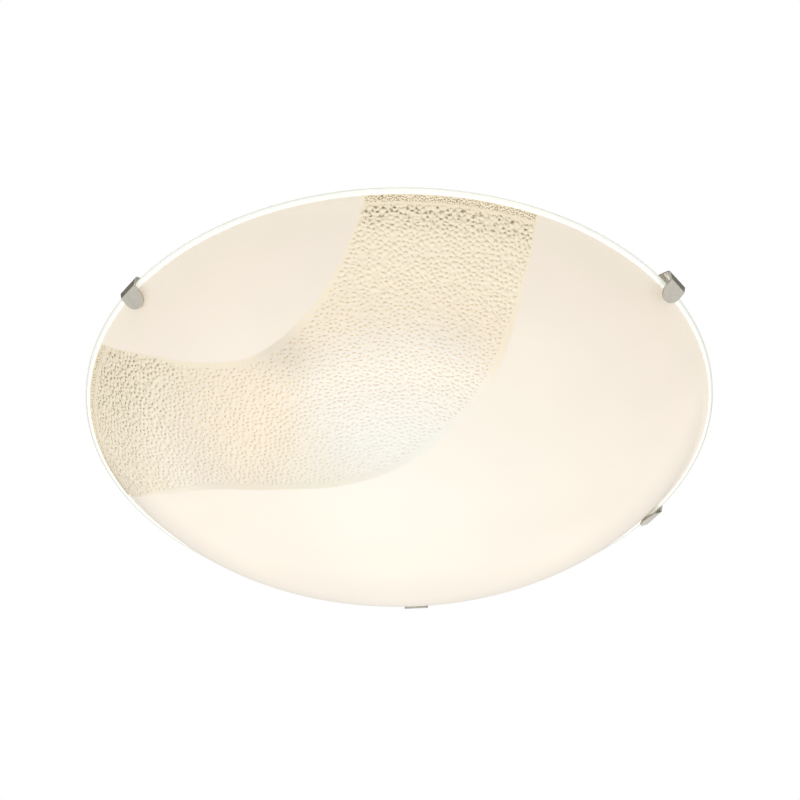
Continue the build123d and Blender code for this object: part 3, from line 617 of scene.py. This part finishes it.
def grained_glass(shape):
    """Clear glass pressed with a pebbled grain, lit with painted light: a painted glow on the pebbles,
    painted shade on their sides, a dimmer painted glow where the bowl turns away from the room's side, and
    dark grey-brown spots of painted shade near the rim, where little light comes through, that reach further
    in at the band's far end."""
    made, tree, place = start_material("clear_glass_pressed_grain")
    # Painted shade: dark spots and shaded pebble sides, from the values stored on the mesh's points
    shade_spot = add(tree, "ShaderNodeAttribute", attribute_name="shade_spot").outputs["Fac"]
    lean = add(tree, "ShaderNodeAttribute", attribute_name="lean").outputs["Fac"]
    share = remap(tree, axis_distance(tree, place), 0.0, shape.rim_radius)
    along = add(tree, "ShaderNodeSeparateXYZ", {"Vector": place}).outputs["Y"]
    # Painted shade starts nearer the rim, and the painted glow is stronger, towards the band's near end
    near = remap(tree, along, *NEAR_END)
    start = remap(tree, near, 0.0, 1.0, 0.66, 0.895)
    most = remap(tree, near, 0.0, 1.0, 0.62, 0.85)
    shade = remap(tree, share, start, 0.98, 0.06, most, interpolation_type="SMOOTHSTEP")
    contrast = remap(tree, share, 0.2, 0.5, 0.16, 0.36)
    plain = reckon(tree, "MULTIPLY_ADD", lean, contrast, 0.2)
    dark = reckon(tree, "MULTIPLY_ADD", shade_spot, shade, plain)
    # Painted shade: white to dark grey-brown over how dark a point is painted; below, the glow's colour,
    # painted darker towards the rim
    shade_tints = [(0.0, "#FFFFFF"), (0.2, "#F4F5F2"), (0.45, "#CBCABD"), (0.8, "#8C8276"), (1.0, "#5E534A")]
    warm = [(0.0, "#EAEAE8"), (0.25, "#EAE9E5"), (0.45, "#EFE6DC"), (0.65, "#F3E8DA")]
    warm += [(0.82, "#F6EAD6"), (0.93, "#F2E5CF"), (1.0, "#EDDFC8")]
    layers = {"Factor": 1.0, "A": ramp(tree, share, warm), "B": ramp(tree, dark, shade_tints)}
    mixed = add(tree, "ShaderNodeMix", layers, data_type="RGBA", blend_type="MULTIPLY")
    lit = mixed.outputs["Result"]
    # Painted glow: the emission rises towards the rim and the near end, and painted shade dims it where the
    # bowl turns away from the room's side
    even = remap(tree, share, 0.42, 0.82, 0.24, 0.45)
    extra = remap(tree, share, 0.72, 0.9, 0.0, 0.11)
    bright = reckon(tree, "MULTIPLY_ADD", near, extra, even)
    centre = (0, 0, shape.rim_top + shape.rim_radius / math.tan(shape.slope))
    ray = add(tree, "ShaderNodeVectorMath", {0: place, 1: centre}, operation="SUBTRACT").outputs[0]
    side = add(tree, "ShaderNodeVectorMath", {0: ray}, operation="NORMALIZE").outputs[0]
    away = remap(tree, pointing(tree, side, ROOM_SIDE), 0.0, 0.3, 0.3, 1.0)
    end_material(
        tree,
        {
            "Base Color": lit,
            "Roughness": 0.42,
            "IOR": GLASS_IOR,
            "Transmission Weight": remap(tree, share, 0.5, 0.85, 0.5, 0.04),
            "Emission Color": lit,
            "Emission Strength": reckon(tree, "MULTIPLY", bright, away),
        },
    )
    return made


def ground_edge(shape):
    """Bent glass with a ground edge: white, with a painted glow where it scatters the light, and a thin
    grey-green line of painted shade along its top and, away from the room's side, along its outermost corner
    too."""
    made, tree, place = start_material("clear_glass_ground_edge")
    top, radius = shape.rim_top, shape.rim_radius
    # Painted shade: a grey-green line along the top, and along the outermost corner away from the room's
    # side; the emission is a painted glow
    level = add(tree, "ShaderNodeSeparateXYZ", {"Vector": place}).outputs["Z"]
    upper = remap(tree, level, top - 1.6 * MM, top - 1.2 * MM, 0.0, 0.65)
    outer = remap(tree, axis_distance(tree, place), radius - 1.2 * MM, radius - 0.7 * MM)
    turned = pointing(tree, place, (ROOM_SIDE[0], ROOM_SIDE[1], 0))
    aside = remap(tree, turned, 0.0, 0.45 * radius, 1.0, 0.0)
    line = reckon(tree, "MAXIMUM", upper, reckon(tree, "MULTIPLY", outer, aside))
    tint = ramp(tree, line, [(0.0, "#FBFCF8"), (1.0, "#CBCEC5")])
    end_material(
        tree,
        {
            "Base Color": tint,
            "Roughness": remap(tree, noise(tree, place, 4 * MM), 0.0, 1.0, 0.2, 0.3),
            "IOR": GLASS_IOR,
            "Transmission Weight": 0.25,
            "Emission Color": tint,
            "Emission Strength": 0.41,
        },
    )
    return made


def polished_glass():
    """Clear glass as it comes from the bending oven: colourless and smooth."""
    clear = {"Transmission Weight": 1.0, "IOR": GLASS_IOR}
    return mottled("clear_glass_fire_polished", "#F8FBF8", "#FDFEFD", 9 * MM, 0.03, **clear)


def turned_faces(points, triangles, up):
    """Triangles that all face up, or all down."""
    a, b, c = [points[triangles[:, i]] for i in range(3)]
    height = np.cross(b - a, c - a)[:, 2]
    wrong = height < 0 if up else height > 0
    triangles[wrong] = triangles[wrong][:, ::-1]
    return triangles


class CEILING_OT_glass_bowl(Operator):
    """Makes the bent glass bowl with its coat, its grained band and its clear rim"""

    bl_idname = "ceiling_light.glass_bowl"
    bl_label = "Glass bowl"

    def execute(self, context):
        settings = context.scene.ceiling_light.bowl
        chance = random.Random(settings.seed)
        shape = BowlShape(settings)
        plan = BandPlan(shape, settings)
        points, faces, kinds, shade_spots, leans, rings = [], [], [], [], [], []
        for make in (self.outer_face, self.inner_face):
            some, triangles, kind, shade_spot, lean, ring = make(shape, plan, settings, chance)
            first = sum(len(p) for p in points)
            points.append(some)
            faces += (triangles + first).tolist()
            kinds += kind.tolist()
            shade_spots += shade_spot.tolist()
            leans += lean.tolist()
            rings.append([first + i for i in ring])
        turned = np.column_stack([np.cos(plan.turns), np.sin(plan.turns)])
        count = len(turned)
        row = rings[0]
        for out, level in self.rim_profile(shape, settings.edge_corner):
            first = sum(len(p) for p in points)
            points.append(np.column_stack([turned * out, np.full(count, level)]))
            following = list(range(first, first + count))
            faces += self.join(row, following)
            row = following
        faces += self.join(row, rings[1])
        points = np.vstack(points)
        kinds += [EDGE] * (len(faces) - len(kinds))
        shade_spots += [0.0] * (len(points) - len(shade_spots))
        leans += [0.0] * (len(points) - len(leans))
        finishes = [fired_coat(shape), grained_glass(shape), polished_glass(), inner_coat()]
        finishes.append(ground_edge(shape))
        bowl = new_mesh("bent_glass_bowl", points, faces, finishes)
        if len(bowl.data.polygons) != len(kinds):
            raise RuntimeError("the bowl's mesh has faces that don't hold")
        bowl.data.polygons.foreach_set("material_index", kinds)
        # The band's painted shade: how dark each point's spot is, and how its pebble side leans
        for name, values in (("shade_spot", shade_spots), ("lean", leans)):
            bowl.data.attributes.new(name, "FLOAT", "POINT").data.foreach_set("value", values)
        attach(bowl, "base")
        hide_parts("glass_bowl")
        return {"FINISHED"}

    @staticmethod
    def outer_face(shape, plan, settings, chance):
        """The coat and the grained band: points, triangles, their finishes, spots of painted shade, leans and
        rim points.
        """
        coat = lattice(plan.reach - COAT_ROOM, COAT_STEP, COAT_WOBBLE, chance)
        band = lattice(plan.reach - BAND_ROOM, settings.mesh_step, BAND_WOBBLE, chance)
        strip = lattice(plan.reach - STRIP_ROOM, settings.mesh_step * STRIP_STEP, BAND_WOBBLE, chance)
        outer = np.hypot(strip[:, 0], strip[:, 1]) > plan.reach - STRIP_MESH
        free = [
            coat[~inside(coat, plan.polygon)],
            band[inside(band, plan.polygon)],
            strip[outer & inside(strip, plan.polygon)],
        ]
        flat, triangles, ring = plan.triangles(np.vstack(free))
        banded = inside(flat[triangles].mean(axis=1), plan.polygon)
        away = plan.edge_distance(flat)
        reach = np.hypot(flat[:, 0], flat[:, 1])
        margin = np.interp(reach, MARGIN_SPAN, [settings.margin, RIM_MARGIN])
        own = inside(flat, plan.polygon) & (away > EDGE_LINE)
        fade = own * ease(margin, margin + MARGIN_SOFT, away) * ease(0, RIM_SOFT, plan.reach - reach)
        valley, shade_spot, lean = grain(flat, plan, settings, chance)
        points = shape.lift(flat, valley * fade * settings.relief)
        triangles = turned_faces(points, triangles, up=False)
        return points, triangles, np.where(banded, BAND, COAT), shade_spot * fade, lean * fade, ring

    @staticmethod
    def inner_face(shape, plan, settings, chance):
        """The smooth inner face, clear behind the band and a little beyond it, in the outer face's terms."""
        free = lattice(plan.reach - COAT_ROOM, COAT_STEP, COAT_WOBBLE, chance)
        flat, triangles, ring = plan.triangles(free)
        middle = flat[triangles].mean(axis=1)
        clear = inside(middle, plan.polygon) | (plan.edge_distance(middle) < CLEAR_BORDER)
        points = shape.lift(flat * (shape.wall / shape.reach), np.full(len(flat), settings.thickness))
        triangles = turned_faces(points, triangles, up=True)
        plain = np.zeros(len(flat))
        return points, triangles, np.where(clear, CLEAR, BACK), plain, plain, ring

    @staticmethod
    def join(lower, upper):
        """Faces between two rings of points."""
        count = len(lower)
        return [(lower[i], lower[(i + 1) % count], upper[(i + 1) % count], upper[i]) for i in range(count)]

    @staticmethod
    def rim_profile(shape, corner):
        """Points from the rim's flat underside, round its edge and down to the inner wall."""
        found = []
        steps = 5
        for centre, start in ((shape.rim_bottom + corner, -90), (shape.rim_top - corner, 0)):
            for i in range(steps + 1):
                angle = math.radians(start + 90 * i / steps)
                out = shape.rim_radius - corner + corner * math.cos(angle)
                found.append((out, centre + corner * math.sin(angle)))
        wall_top = shape.shoulder[1] - (shape.small - shape.thickness) * math.cos(shape.slope)
        wall_out = shape.shoulder[0] + (shape.small - shape.thickness) * math.sin(shape.slope)
        inner = wall_out + (shape.rim_top - wall_top) / math.tan(shape.slope)
        found += [(inner + INNER_CHAMFER[0], shape.rim_top), (inner, shape.rim_top - INNER_CHAMFER[1])]
        return found + [(wall_out, wall_top)]


class CEILING_OT_clips(Operator):
    """Gives the clips, their pads, rivets and guides their finishes"""

    bl_idname = "ceiling_light.clips"
    bl_label = "Clips"

    def execute(self, context):
        # Nickel plate, brushed: grey, a little warm, with a fine grain drawn out along X
        brushed = {"stretch": (0.25, 1, 1), "edge": 0.3 * MM, "Metallic": 1.0}
        nickel = mottled(
            "satin_nickel_plate_brushed", "#B5B0A5", "#CBC6BB", 0.5 * MM, 0.3, 0.004 * MM, **brushed
        )
        dress(nickel, "left_clip", "middle_clip", "right_clip", "sliding_clip")
        # Clear moulded silicone: milky, with a dull skin
        milky = {"Transmission Weight": 0.6, "IOR": SILICONE_IOR}
        silicone = mottled("clear_silicone_moulded", "#E4E4DE", "#F1F1EC", 0.8 * MM, 0.4, 0.01 * MM, **milky)
        dress(silicone, "clip_pads", "sliding_clip_pad")
        dress(zinc_plate(), "clip_rivets", "guide_rivets", "inner_guide", "outer_guide")
        return {"FINISHED"}


def zinc_plate():
    """Bright zinc, plated in a barrel: a bluish white metal with cloudy grains, a little dull."""
    made = bpy.data.materials.get("bright_zinc_plate")
    plated = {"edge": 0.2 * MM, "Metallic": 1.0}
    return made or mottled("bright_zinc_plate", "#B4B8BC", "#D2D5D6", 1.2 * MM, 0.34, 0.006 * MM, **plated)


class CEILING_OT_spring(Operator):
    """Makes the sliding clip's coil spring, which shortens as the clip is pulled out"""

    bl_idname = "ceiling_light.spring"
    bl_label = "Spring"

    def execute(self, context):
        settings = context.scene.ceiling_light.spring
        low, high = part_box("clip_spring")
        half = settings.wire / 2
        mean = (high[1] - low[1]) / 2 - half
        level = (low[2] + high[2]) / 2
        long = high[0] - low[0] - settings.wire
        if mean <= half:
            raise RuntimeError("the spring's box leaves no room for its wire")
        count, sides = settings.turns * settings.steps, settings.sides
        rise = long / (2 * math.pi * settings.turns)
        points, faces = [], []
        for i in range(count + 1):
            angle = 2 * math.pi * settings.turns * i / count
            y, z = math.cos(angle), math.sin(angle)
            middle = Vector((high[0] - half - long * i / count, mean * y, level + mean * z))
            out = Vector((0, y, z))
            across = Vector((-rise, -mean * z, mean * y)).normalized().cross(out)
            for side in range(sides):
                turn = 2 * math.pi * side / sides
                points.append(middle + half * (math.cos(turn) * out + math.sin(turn) * across))
        for i in range(count):
            for side in range(sides):
                a, b = i * sides + side, i * sides + (side + 1) % sides
                faces.append((a, b, b + sides, a + sides))
        faces += [list(range(sides))[::-1], list(range(count * sides, (count + 1) * sides))]
        # Drawn spring wire: a grey steel, finely mottled
        steel = mottled("spring_steel_drawn", "#83858A", "#A5A6A9", 0.3 * MM, 0.26, 0.003 * MM, Metallic=1.0)
        spring = new_mesh("coil_spring", points, faces, [steel])
        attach(spring, "base")
        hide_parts("clip_spring")
        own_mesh(spring)
        return {"FINISHED"}


def islands(name):
    """The separate solids of a CAD node, each as an array of its points."""
    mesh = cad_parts[name].data
    points = np.array([v.co for v in mesh.vertices])
    keys = {}
    same = [keys.setdefault(tuple(p), i) for i, p in enumerate(np.round(points, 6))]
    group = list(range(len(points)))

    def root(i):
        while group[i] != i:
            group[i] = group[group[i]]
            i = group[i]
        return i

    for i, other in enumerate(same):
        group[root(i)] = root(other)
    for polygon in mesh.polygons:
        first = root(polygon.vertices[0])
        for other in polygon.vertices[1:]:
            group[root(other)] = first
    found = {}
    for i in range(len(points)):
        found.setdefault(root(i), []).append(i)
    return [points[members] for members in found.values()]


def screw_form(points, settings):
    """A screw in the place of a CAD screw: domed head with a cross recess, or a slot where it has no
    head, and a rolled thread."""
    low, high = points.min(axis=0), points.max(axis=0)
    middle = (low + high) / 2
    out = np.hypot(points[:, 0] - middle[0], points[:, 1] - middle[1])
    head = out.max()
    up = 1 if out[points[:, 2] > middle[2]].max() >= out[points[:, 2] < middle[2]].max() else -1
    shank = min(out[points[:, 2] * up < middle[2] * up].max(), head)
    wide = points[out > shank * HEAD_RATIO]
    tall = 0.0
    if len(wide):
        tall = high[2] - wide[:, 2].min() if up > 0 else wide[:, 2].max() - low[2]
    turns = [2 * math.pi * k / settings.segments for k in range(settings.segments)]
    verts = thread_rings(turns, shank, high[2] - low[2] - tall, settings.pitch * 2 * shank)
    if tall:
        for z in (0.0, HEAD_WALL * tall):
            verts += [(head * math.cos(angle), head * math.sin(angle), z) for angle in turns]
        verts += cap_rings(turns, head, tall, settings.recess * tall)
    else:
        verts += slot_rings(turns, shank * GRUB_CAP, settings.recess * GRUB_SLOT * shank)
    count = len(turns)
    total = len(verts) // count
    faces = []
    for r in range(total - 1):
        for k in range(count):
            a, b = r * count + k, r * count + (k + 1) % count
            faces.append((a, b, b + count, a + count))
    faces += [list(range(count))[::-1], list(range((total - 1) * count, total * count))]
    seat = high[2] - tall if up > 0 else low[2] + tall
    placed = [(middle[0] + x, middle[1] + y * up, seat + z * up) for x, y, z in verts]
    return placed, faces


def thread_rings(turns, shank, length, pitch):
    """Rings of a rolled thread from its tip, which is tapered, up to the head."""
    depth = THREAD_DEPTH * shank
    steps = max(int(length / pitch * THREAD_STEPS), THREAD_STEPS)
    found = []
    for i in range(steps + 1):
        z = -length + length * i / steps
        taper = min(1.0, TIP_WIDTH + (1 - TIP_WIDTH) * (z + length) / (TIP_LENGTH * shank))
        for k, angle in enumerate(turns):
            saw = (z / pitch - k / len(turns)) % 1
            radius = (shank - depth * abs(2 * saw - 1)) * taper
            found.append((radius * math.cos(angle), radius * math.sin(angle), z))
    return found


def cap_rings(turns, head, tall, cut):
    """Rings of a domed head, from its side to its middle, with a cross recess of a depth."""
    found = []
    for ring in range(1, CAP_RINGS):
        share = 1 - ring / CAP_RINGS
        dome = HEAD_WALL * tall + (1 - HEAD_WALL) * tall * math.sqrt(1 - share**2)
        for angle in turns:
            x, y = share * math.cos(angle), share * math.sin(angle)
            arm = max(CROSS_ARM - min(abs(x), abs(y)), 0) / CROSS_ARM
            reach = max(CROSS_REACH - max(abs(x), abs(y)), 0) / CROSS_REACH
            found.append((head * x, head * y, dome - cut * min(1, 3 * arm) * min(1, 2.2 * reach)))
    return found


def slot_rings(turns, cap, cut):
    """Rings of a flat end, from its side to its middle, with a slot of a depth."""
    found = []
    for ring in range(1, CAP_RINGS):
        share = 1 - ring / CAP_RINGS
        for angle in turns:
            x, y = share * math.cos(angle), share * math.sin(angle)
            found.append((cap * x, cap * y, -cut if abs(x) < SLOT_HALF else 0.0))
    return found


class CEILING_OT_screws(Operator):
    """Makes every screw with its thread and its drive"""

    bl_idname = "ceiling_light.screws"
    bl_label = "Screws"

    def execute(self, context):
        settings = context.scene.ceiling_light.screws
        for node in SCREWS:
            points, faces = [], []
            for solid in islands(node):
                some, sides = screw_form(solid, settings)
                faces += [[i + len(points) for i in side] for side in sides]
                points += some
            if not points:
                raise RuntimeError(f"{node} has no solids")
            brassy = node == "terminal_screws"
            made = new_mesh("threaded_" + node, points, faces, [turned_brass() if brassy else zinc_plate()])
            made.data.set_sharp_from_angle(angle=math.radians(35))
            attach(made, "base")
            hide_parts(node)
        return {"FINISHED"}


def turned_brass():
    """Brass turned on a lathe: a warm yellow metal, finely mottled."""
    made = bpy.data.materials.get("brass_turned")
    return made or mottled("brass_turned", "#C09A4E", "#D9B66A", 0.4 * MM, 0.28, 0.004 * MM, Metallic=1.0)


class CEILING_OT_pan(Operator):
    """Gives the pan, the ceiling bracket and its nuts their finishes"""

    bl_idname = "ceiling_light.pan"
    bl_label = "Pan and bracket"

    def execute(self, context):
        # Powder coat sprayed and baked: white, half dull, with a fine orange-peel skin
        coat = mottled(
            "white_powder_coat_baked", "#E6E6E1", "#F0F0EC", 1.1 * MM, 0.46, 0.03 * MM, edge=0.3 * MM
        )
        dress(coat, "pan")
        dress(zinc_plate(), "ceiling_bracket", "weld_nuts")
        return {"FINISHED"}


class CEILING_OT_led_module(Operator):
    """Gives the LED board, its chips, its opal cover and its connector their finishes"""

    bl_idname = "ceiling_light.led_module"
    bl_label = "LED module"

    def execute(self, context):
        # White solder mask screen-printed on aluminium: a flat, slightly glossy white
        mask = mottled("white_solder_mask_printed", "#EAEAE5", "#F3F3EF", 0.6 * MM, 0.3, 0.008 * MM)
        dress(mask, "led_board")
        # Phosphor gel cast over the dies: deep yellow, glowing warm white
        warm = {"Emission Color": colour("#FFEFD2"), "Emission Strength": 2.0}
        gel = mottled("phosphor_gel_cast", "#F0CE62", "#F6DA78", 0.4 * MM, 0.25, 0.01 * MM, **warm)
        dress(gel, "led_chips")
        # Opal polycarbonate moulded thin: milky and even, lit from behind
        lit = {"Emission Color": colour("#E4EFFF"), "Emission Strength": 0.68}
        opal = mottled("opal_polycarbonate_moulded", "#B6B7B8", "#BEBFC0", 0.9 * MM, 0.35, 0.01 * MM, **lit)
        dress(opal, "led_cover")
        dress(white_plastic(), "board_connector")
        # Moulded rubber: dark grey and dull, faintly mottled
        rubber = mottled("grey_rubber_moulded", "#56575A", "#66676A", 0.7 * MM, 0.62, 0.02 * MM)
        dress(rubber, "lead_grommet")
        return {"FINISHED"}


def white_plastic():
    """ABS moulded in a spark-eroded tool: white with a fine dull texture."""
    made = bpy.data.materials.get("white_abs_moulded")
    return made or mottled(
        "white_abs_moulded", "#E3E3DD", "#EDEDE8", 0.45 * MM, 0.5, 0.025 * MM, edge=0.25 * MM
    )


class CEILING_OT_wiring(Operator):
    """Gives the driver, the terminals and the leads their finishes"""

    bl_idname = "ceiling_light.wiring"
    bl_label = "Wiring"

    def execute(self, context):
        dress(white_plastic(), "driver_case", "driver_lid")
        # Nylon moulded: cream, a little waxy
        waxy = {"Subsurface Weight": 0.1, "Subsurface Radius": (1.0 * MM, 0.8 * MM, 0.6 * MM)}
        nylon = mottled(
            "pale_nylon_moulded", "#DFDBCB", "#E9E5D8", 0.9 * MM, 0.4, 0.015 * MM, edge=0.25 * MM, **waxy
        )
        dress(nylon, "terminal_block")
        dress(turned_brass(), "earth_terminal")
        # Extruded PVC insulation: an even colour with a soft sheen and a faint mottle
        for lead, low, high in (
            ("live_lead", "#5C3B22", "#6B472B"),
            ("neutral_lead", "#1F4FA0", "#2A5CB0"),
            ("led_lead_plus", "#B32A24", "#C2352D"),
            ("led_lead_minus", "#232326", "#303033"),
        ):
            dress(mottled(lead + "_pvc_extruded", low, high, 1.5 * MM, 0.36, 0.01 * MM), lead)
        dress(self.earth_pvc(), "earth_lead")
        return {"FINISHED"}

    @staticmethod
    def earth_pvc():
        """PVC extruded in two colours: yellow with a green stripe along two sides."""
        made, tree, place = start_material("earth_lead_pvc_extruded")
        facing = add(tree, "ShaderNodeTexCoord").outputs["Normal"]
        up = add(tree, "ShaderNodeSeparateXYZ", {"Vector": facing}).outputs["Z"]
        stripe = ramp(tree, reckon(tree, "ABSOLUTE", up), [(0.62, "#E2C61E"), (0.68, "#2E8B3C")])
        rough = remap(tree, noise(tree, place, 1.5 * MM), 0.0, 1.0, 0.3, 0.42)
        end_material(tree, {"Base Color": stripe, "Roughness": rough})
        return made


class CEILING_OT_stage(Operator):
    """Sets up the floor, the lamps, the white surroundings and the camera"""

    bl_idname = "ceiling_light.stage"
    bl_label = "Stage"

    def execute(self, context):
        settings = context.scene.ceiling_light.stage
        scene = context.scene
        scene.view_settings.view_transform = "Standard"
        self.surroundings(scene)
        half = settings.floor_half
        corners = [(-half, -half, 0), (half, -half, 0), (half, half, 0), (-half, half, 0)]
        floor = new_mesh("floor", corners, [(0, 1, 2, 3)], [self.floor_paint()], smooth=False)
        floor.location.z = settings.floor_level
        card = self.card()
        lamps = [self.lamp(*each) for each in LAMPS]
        lamps.append(self.bounce(scene))
        self.camera(scene, settings)
        return {"FINISHED"}

    def card(self):
        """A ring of grey card over the light that only mirrors see, hung to give metal a darker side."""
        count = CARD_SIDES
        turns = [2 * math.pi * i / count for i in range(count)]
        ring = [(r * math.cos(a), r * math.sin(a), 0) for r in CARD_RADII for a in turns]
        sides = [(i, (i + 1) % count, count + (i + 1) % count, count + i) for i in range(count)]
        made = new_mesh("grey_card", ring, sides, [self.card_grey()], smooth=False)
        made.location.z = CARD_HEIGHT
        made.visible_camera = made.visible_diffuse = made.visible_transmission = made.visible_shadow = False
        return made

    @staticmethod
    def bounce(scene):
        """A disc lamp inside the bowl, for the LEDs' light that the bowl throws back up at the pan."""
        data = bpy.data.lights.new("bowl_bounce", "AREA")
        data.shape = "DISK"
        data.size = BOUNCE_SIZE
        data.energy = BOUNCE_POWER
        data.color = colour("#FFEBCE")[:3]
        made = bpy.data.objects.new("bowl_bounce", data)
        scene.collection.objects.link(made)
        made.location = (0, 0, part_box("led_cover")[0][2] - BOUNCE_DROP)
        made.rotation_euler = (math.pi, 0, 0)
        made.visible_camera = made.visible_transmission = made.visible_glossy = False
        return made

    @staticmethod
    def camera(scene, settings):
        """The camera, aimed at the middle of the rim's underside."""
        data = bpy.data.cameras.new("camera")
        data.lens = settings.lens
        data.sensor_width = settings.sensor
        data.shift_x, data.shift_y = settings.shift
        data.clip_start, data.clip_end = CLIP_SPAN
        made = bpy.data.objects.new("camera", data)
        scene.collection.objects.link(made)
        a, e = settings.azimuth, settings.elevation
        back = Vector((math.sin(a) * math.cos(e), -math.cos(a) * math.cos(e), math.sin(e)))
        right = Vector((math.cos(a), math.sin(a), 0))
        turn = Matrix((right, back.cross(right), back)).transposed()
        turn = turn @ Matrix.Rotation(-settings.roll, 3, "Z")
        target = Vector((0, 0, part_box("glass_bowl")[1][2] - scene.ceiling_light.bowl.thickness))
        made.matrix_world = Matrix.Translation(target + back * settings.distance) @ turn.to_4x4()
        scene.camera = made

    @staticmethod
    def seen(tree):
        """One for rays from the camera, from mirrors and through glass, and nothing for the rest."""
        path = add(tree, "ShaderNodeLightPath").outputs
        direct = reckon(tree, "MAXIMUM", path["Is Camera Ray"], path["Is Glossy Ray"])
        return reckon(tree, "MAXIMUM", direct, path["Is Transmission Ray"])

    def surroundings(self, scene):
        """White for the camera, mirrors and glass, and a plain even light for everything else."""
        world = bpy.data.worlds.new("studio")
        world.use_nodes = True
        scene.world = world
        tree = world.node_tree
        tree.nodes.clear()
        level = remap(tree, self.seen(tree), 0.0, 1.0, ROOM_LIGHT, 1.0)
        sky = add(tree, "ShaderNodeBackground", {"Color": WHITE, "Strength": level})
        add(tree, "ShaderNodeOutputWorld", {"Surface": sky.outputs[0]})

    def floor_paint(self):
        """Painted board: pale, dull and faintly mottled, and white where it is seen."""
        made, tree, place = start_material("pale_paint_rolled")
        pale = ramp(tree, noise(tree, place, FLOOR_MOTTLE), [(0.3, "#E9E8E4"), (0.7, "#EFEEEA")])
        paint = add(tree, "ShaderNodeBsdfPrincipled", {"Base Color": pale, "Roughness": 0.8})
        white = add(tree, "ShaderNodeEmission", {"Color": WHITE, "Strength": 1.0})
        both = {"Fac": self.seen(tree), 1: paint.outputs[0], 2: white.outputs[0]}
        surface = add(tree, "ShaderNodeMixShader", both).outputs[0]
        add(tree, "ShaderNodeOutputMaterial", {"Surface": surface})
        made.cycles.emission_sampling = "NONE"
        return made

    @staticmethod
    def card_grey():
        """Grey card stock: an even mid grey."""
        made, tree, place = start_material("grey_card_stock")
        grey = ramp(tree, noise(tree, place, 25 * MM), [(0.3, "#A3A29C"), (0.7, "#ACABA5")])
        end_material(tree, {"Base Color": grey, "Roughness": 0.9})
        return made

    @staticmethod
    def lamp(name, place, size, power):
        """A soft square lamp that points at the light."""
        data = bpy.data.lights.new(name, "AREA")
        data.shape = "SQUARE"
        data.size = size
        data.energy = power
        made = bpy.data.objects.new(name, data)
        bpy.context.scene.collection.objects.link(made)
        made.location = place
        made.rotation_euler = (-Vector(place)).to_track_quat("-Z", "Y").to_euler()
        return made


class CEILING_PT_panel(Panel):
    """The light's settings and steps"""

    bl_idname = "CEILING_PT_panel"
    bl_label = "Ceiling light"
    bl_space_type = "VIEW_3D"
    bl_region_type = "UI"
    bl_category = "Ceiling light"

    def draw(self, context):
        settings = context.scene.ceiling_light
        for label, group in (
            ("Bowl", settings.bowl),
            ("Spring", settings.spring),
            ("Screws", settings.screws),
            ("Stage", settings.stage),
        ):
            box = self.layout.box()
            box.label(text=label)
            for key in group.__annotations__:
                box.prop(group, key)
        for step in STEPS:
            self.layout.operator(step.bl_idname)


STEPS = (
    CEILING_OT_glass_bowl,
    CEILING_OT_clips,
    CEILING_OT_spring,
    CEILING_OT_screws,
    CEILING_OT_pan,
    CEILING_OT_led_module,
    CEILING_OT_wiring,
    CEILING_OT_stage,
)
CLASSES = (
    BowlSettings,
    SpringSettings,
    ScrewSettings,
    StageSettings,
    CeilingLightSettings,
    *STEPS,
    CEILING_PT_panel,
)


def register():
    """Adds the settings, the operators and the panel."""
    for each in CLASSES:
        bpy.utils.register_class(each)
    bpy.types.Scene.ceiling_light = PointerProperty(type=CeilingLightSettings)


def unregister():
    """Takes them away again."""
    del bpy.types.Scene.ceiling_light
    for each in reversed(CLASSES):
        bpy.utils.unregister_class(each)


def main():
    """Runs every step."""
    register()
    bpy.ops.ceiling_light.glass_bowl()
    bpy.ops.ceiling_light.clips()
    bpy.ops.ceiling_light.spring()
    bpy.ops.ceiling_light.screws()
    bpy.ops.ceiling_light.pan()
    bpy.ops.ceiling_light.led_module()
    bpy.ops.ceiling_light.wiring()
    bpy.ops.ceiling_light.stage()
    bpy.context.view_layer.update()


if __name__ == "__main__":
    main()
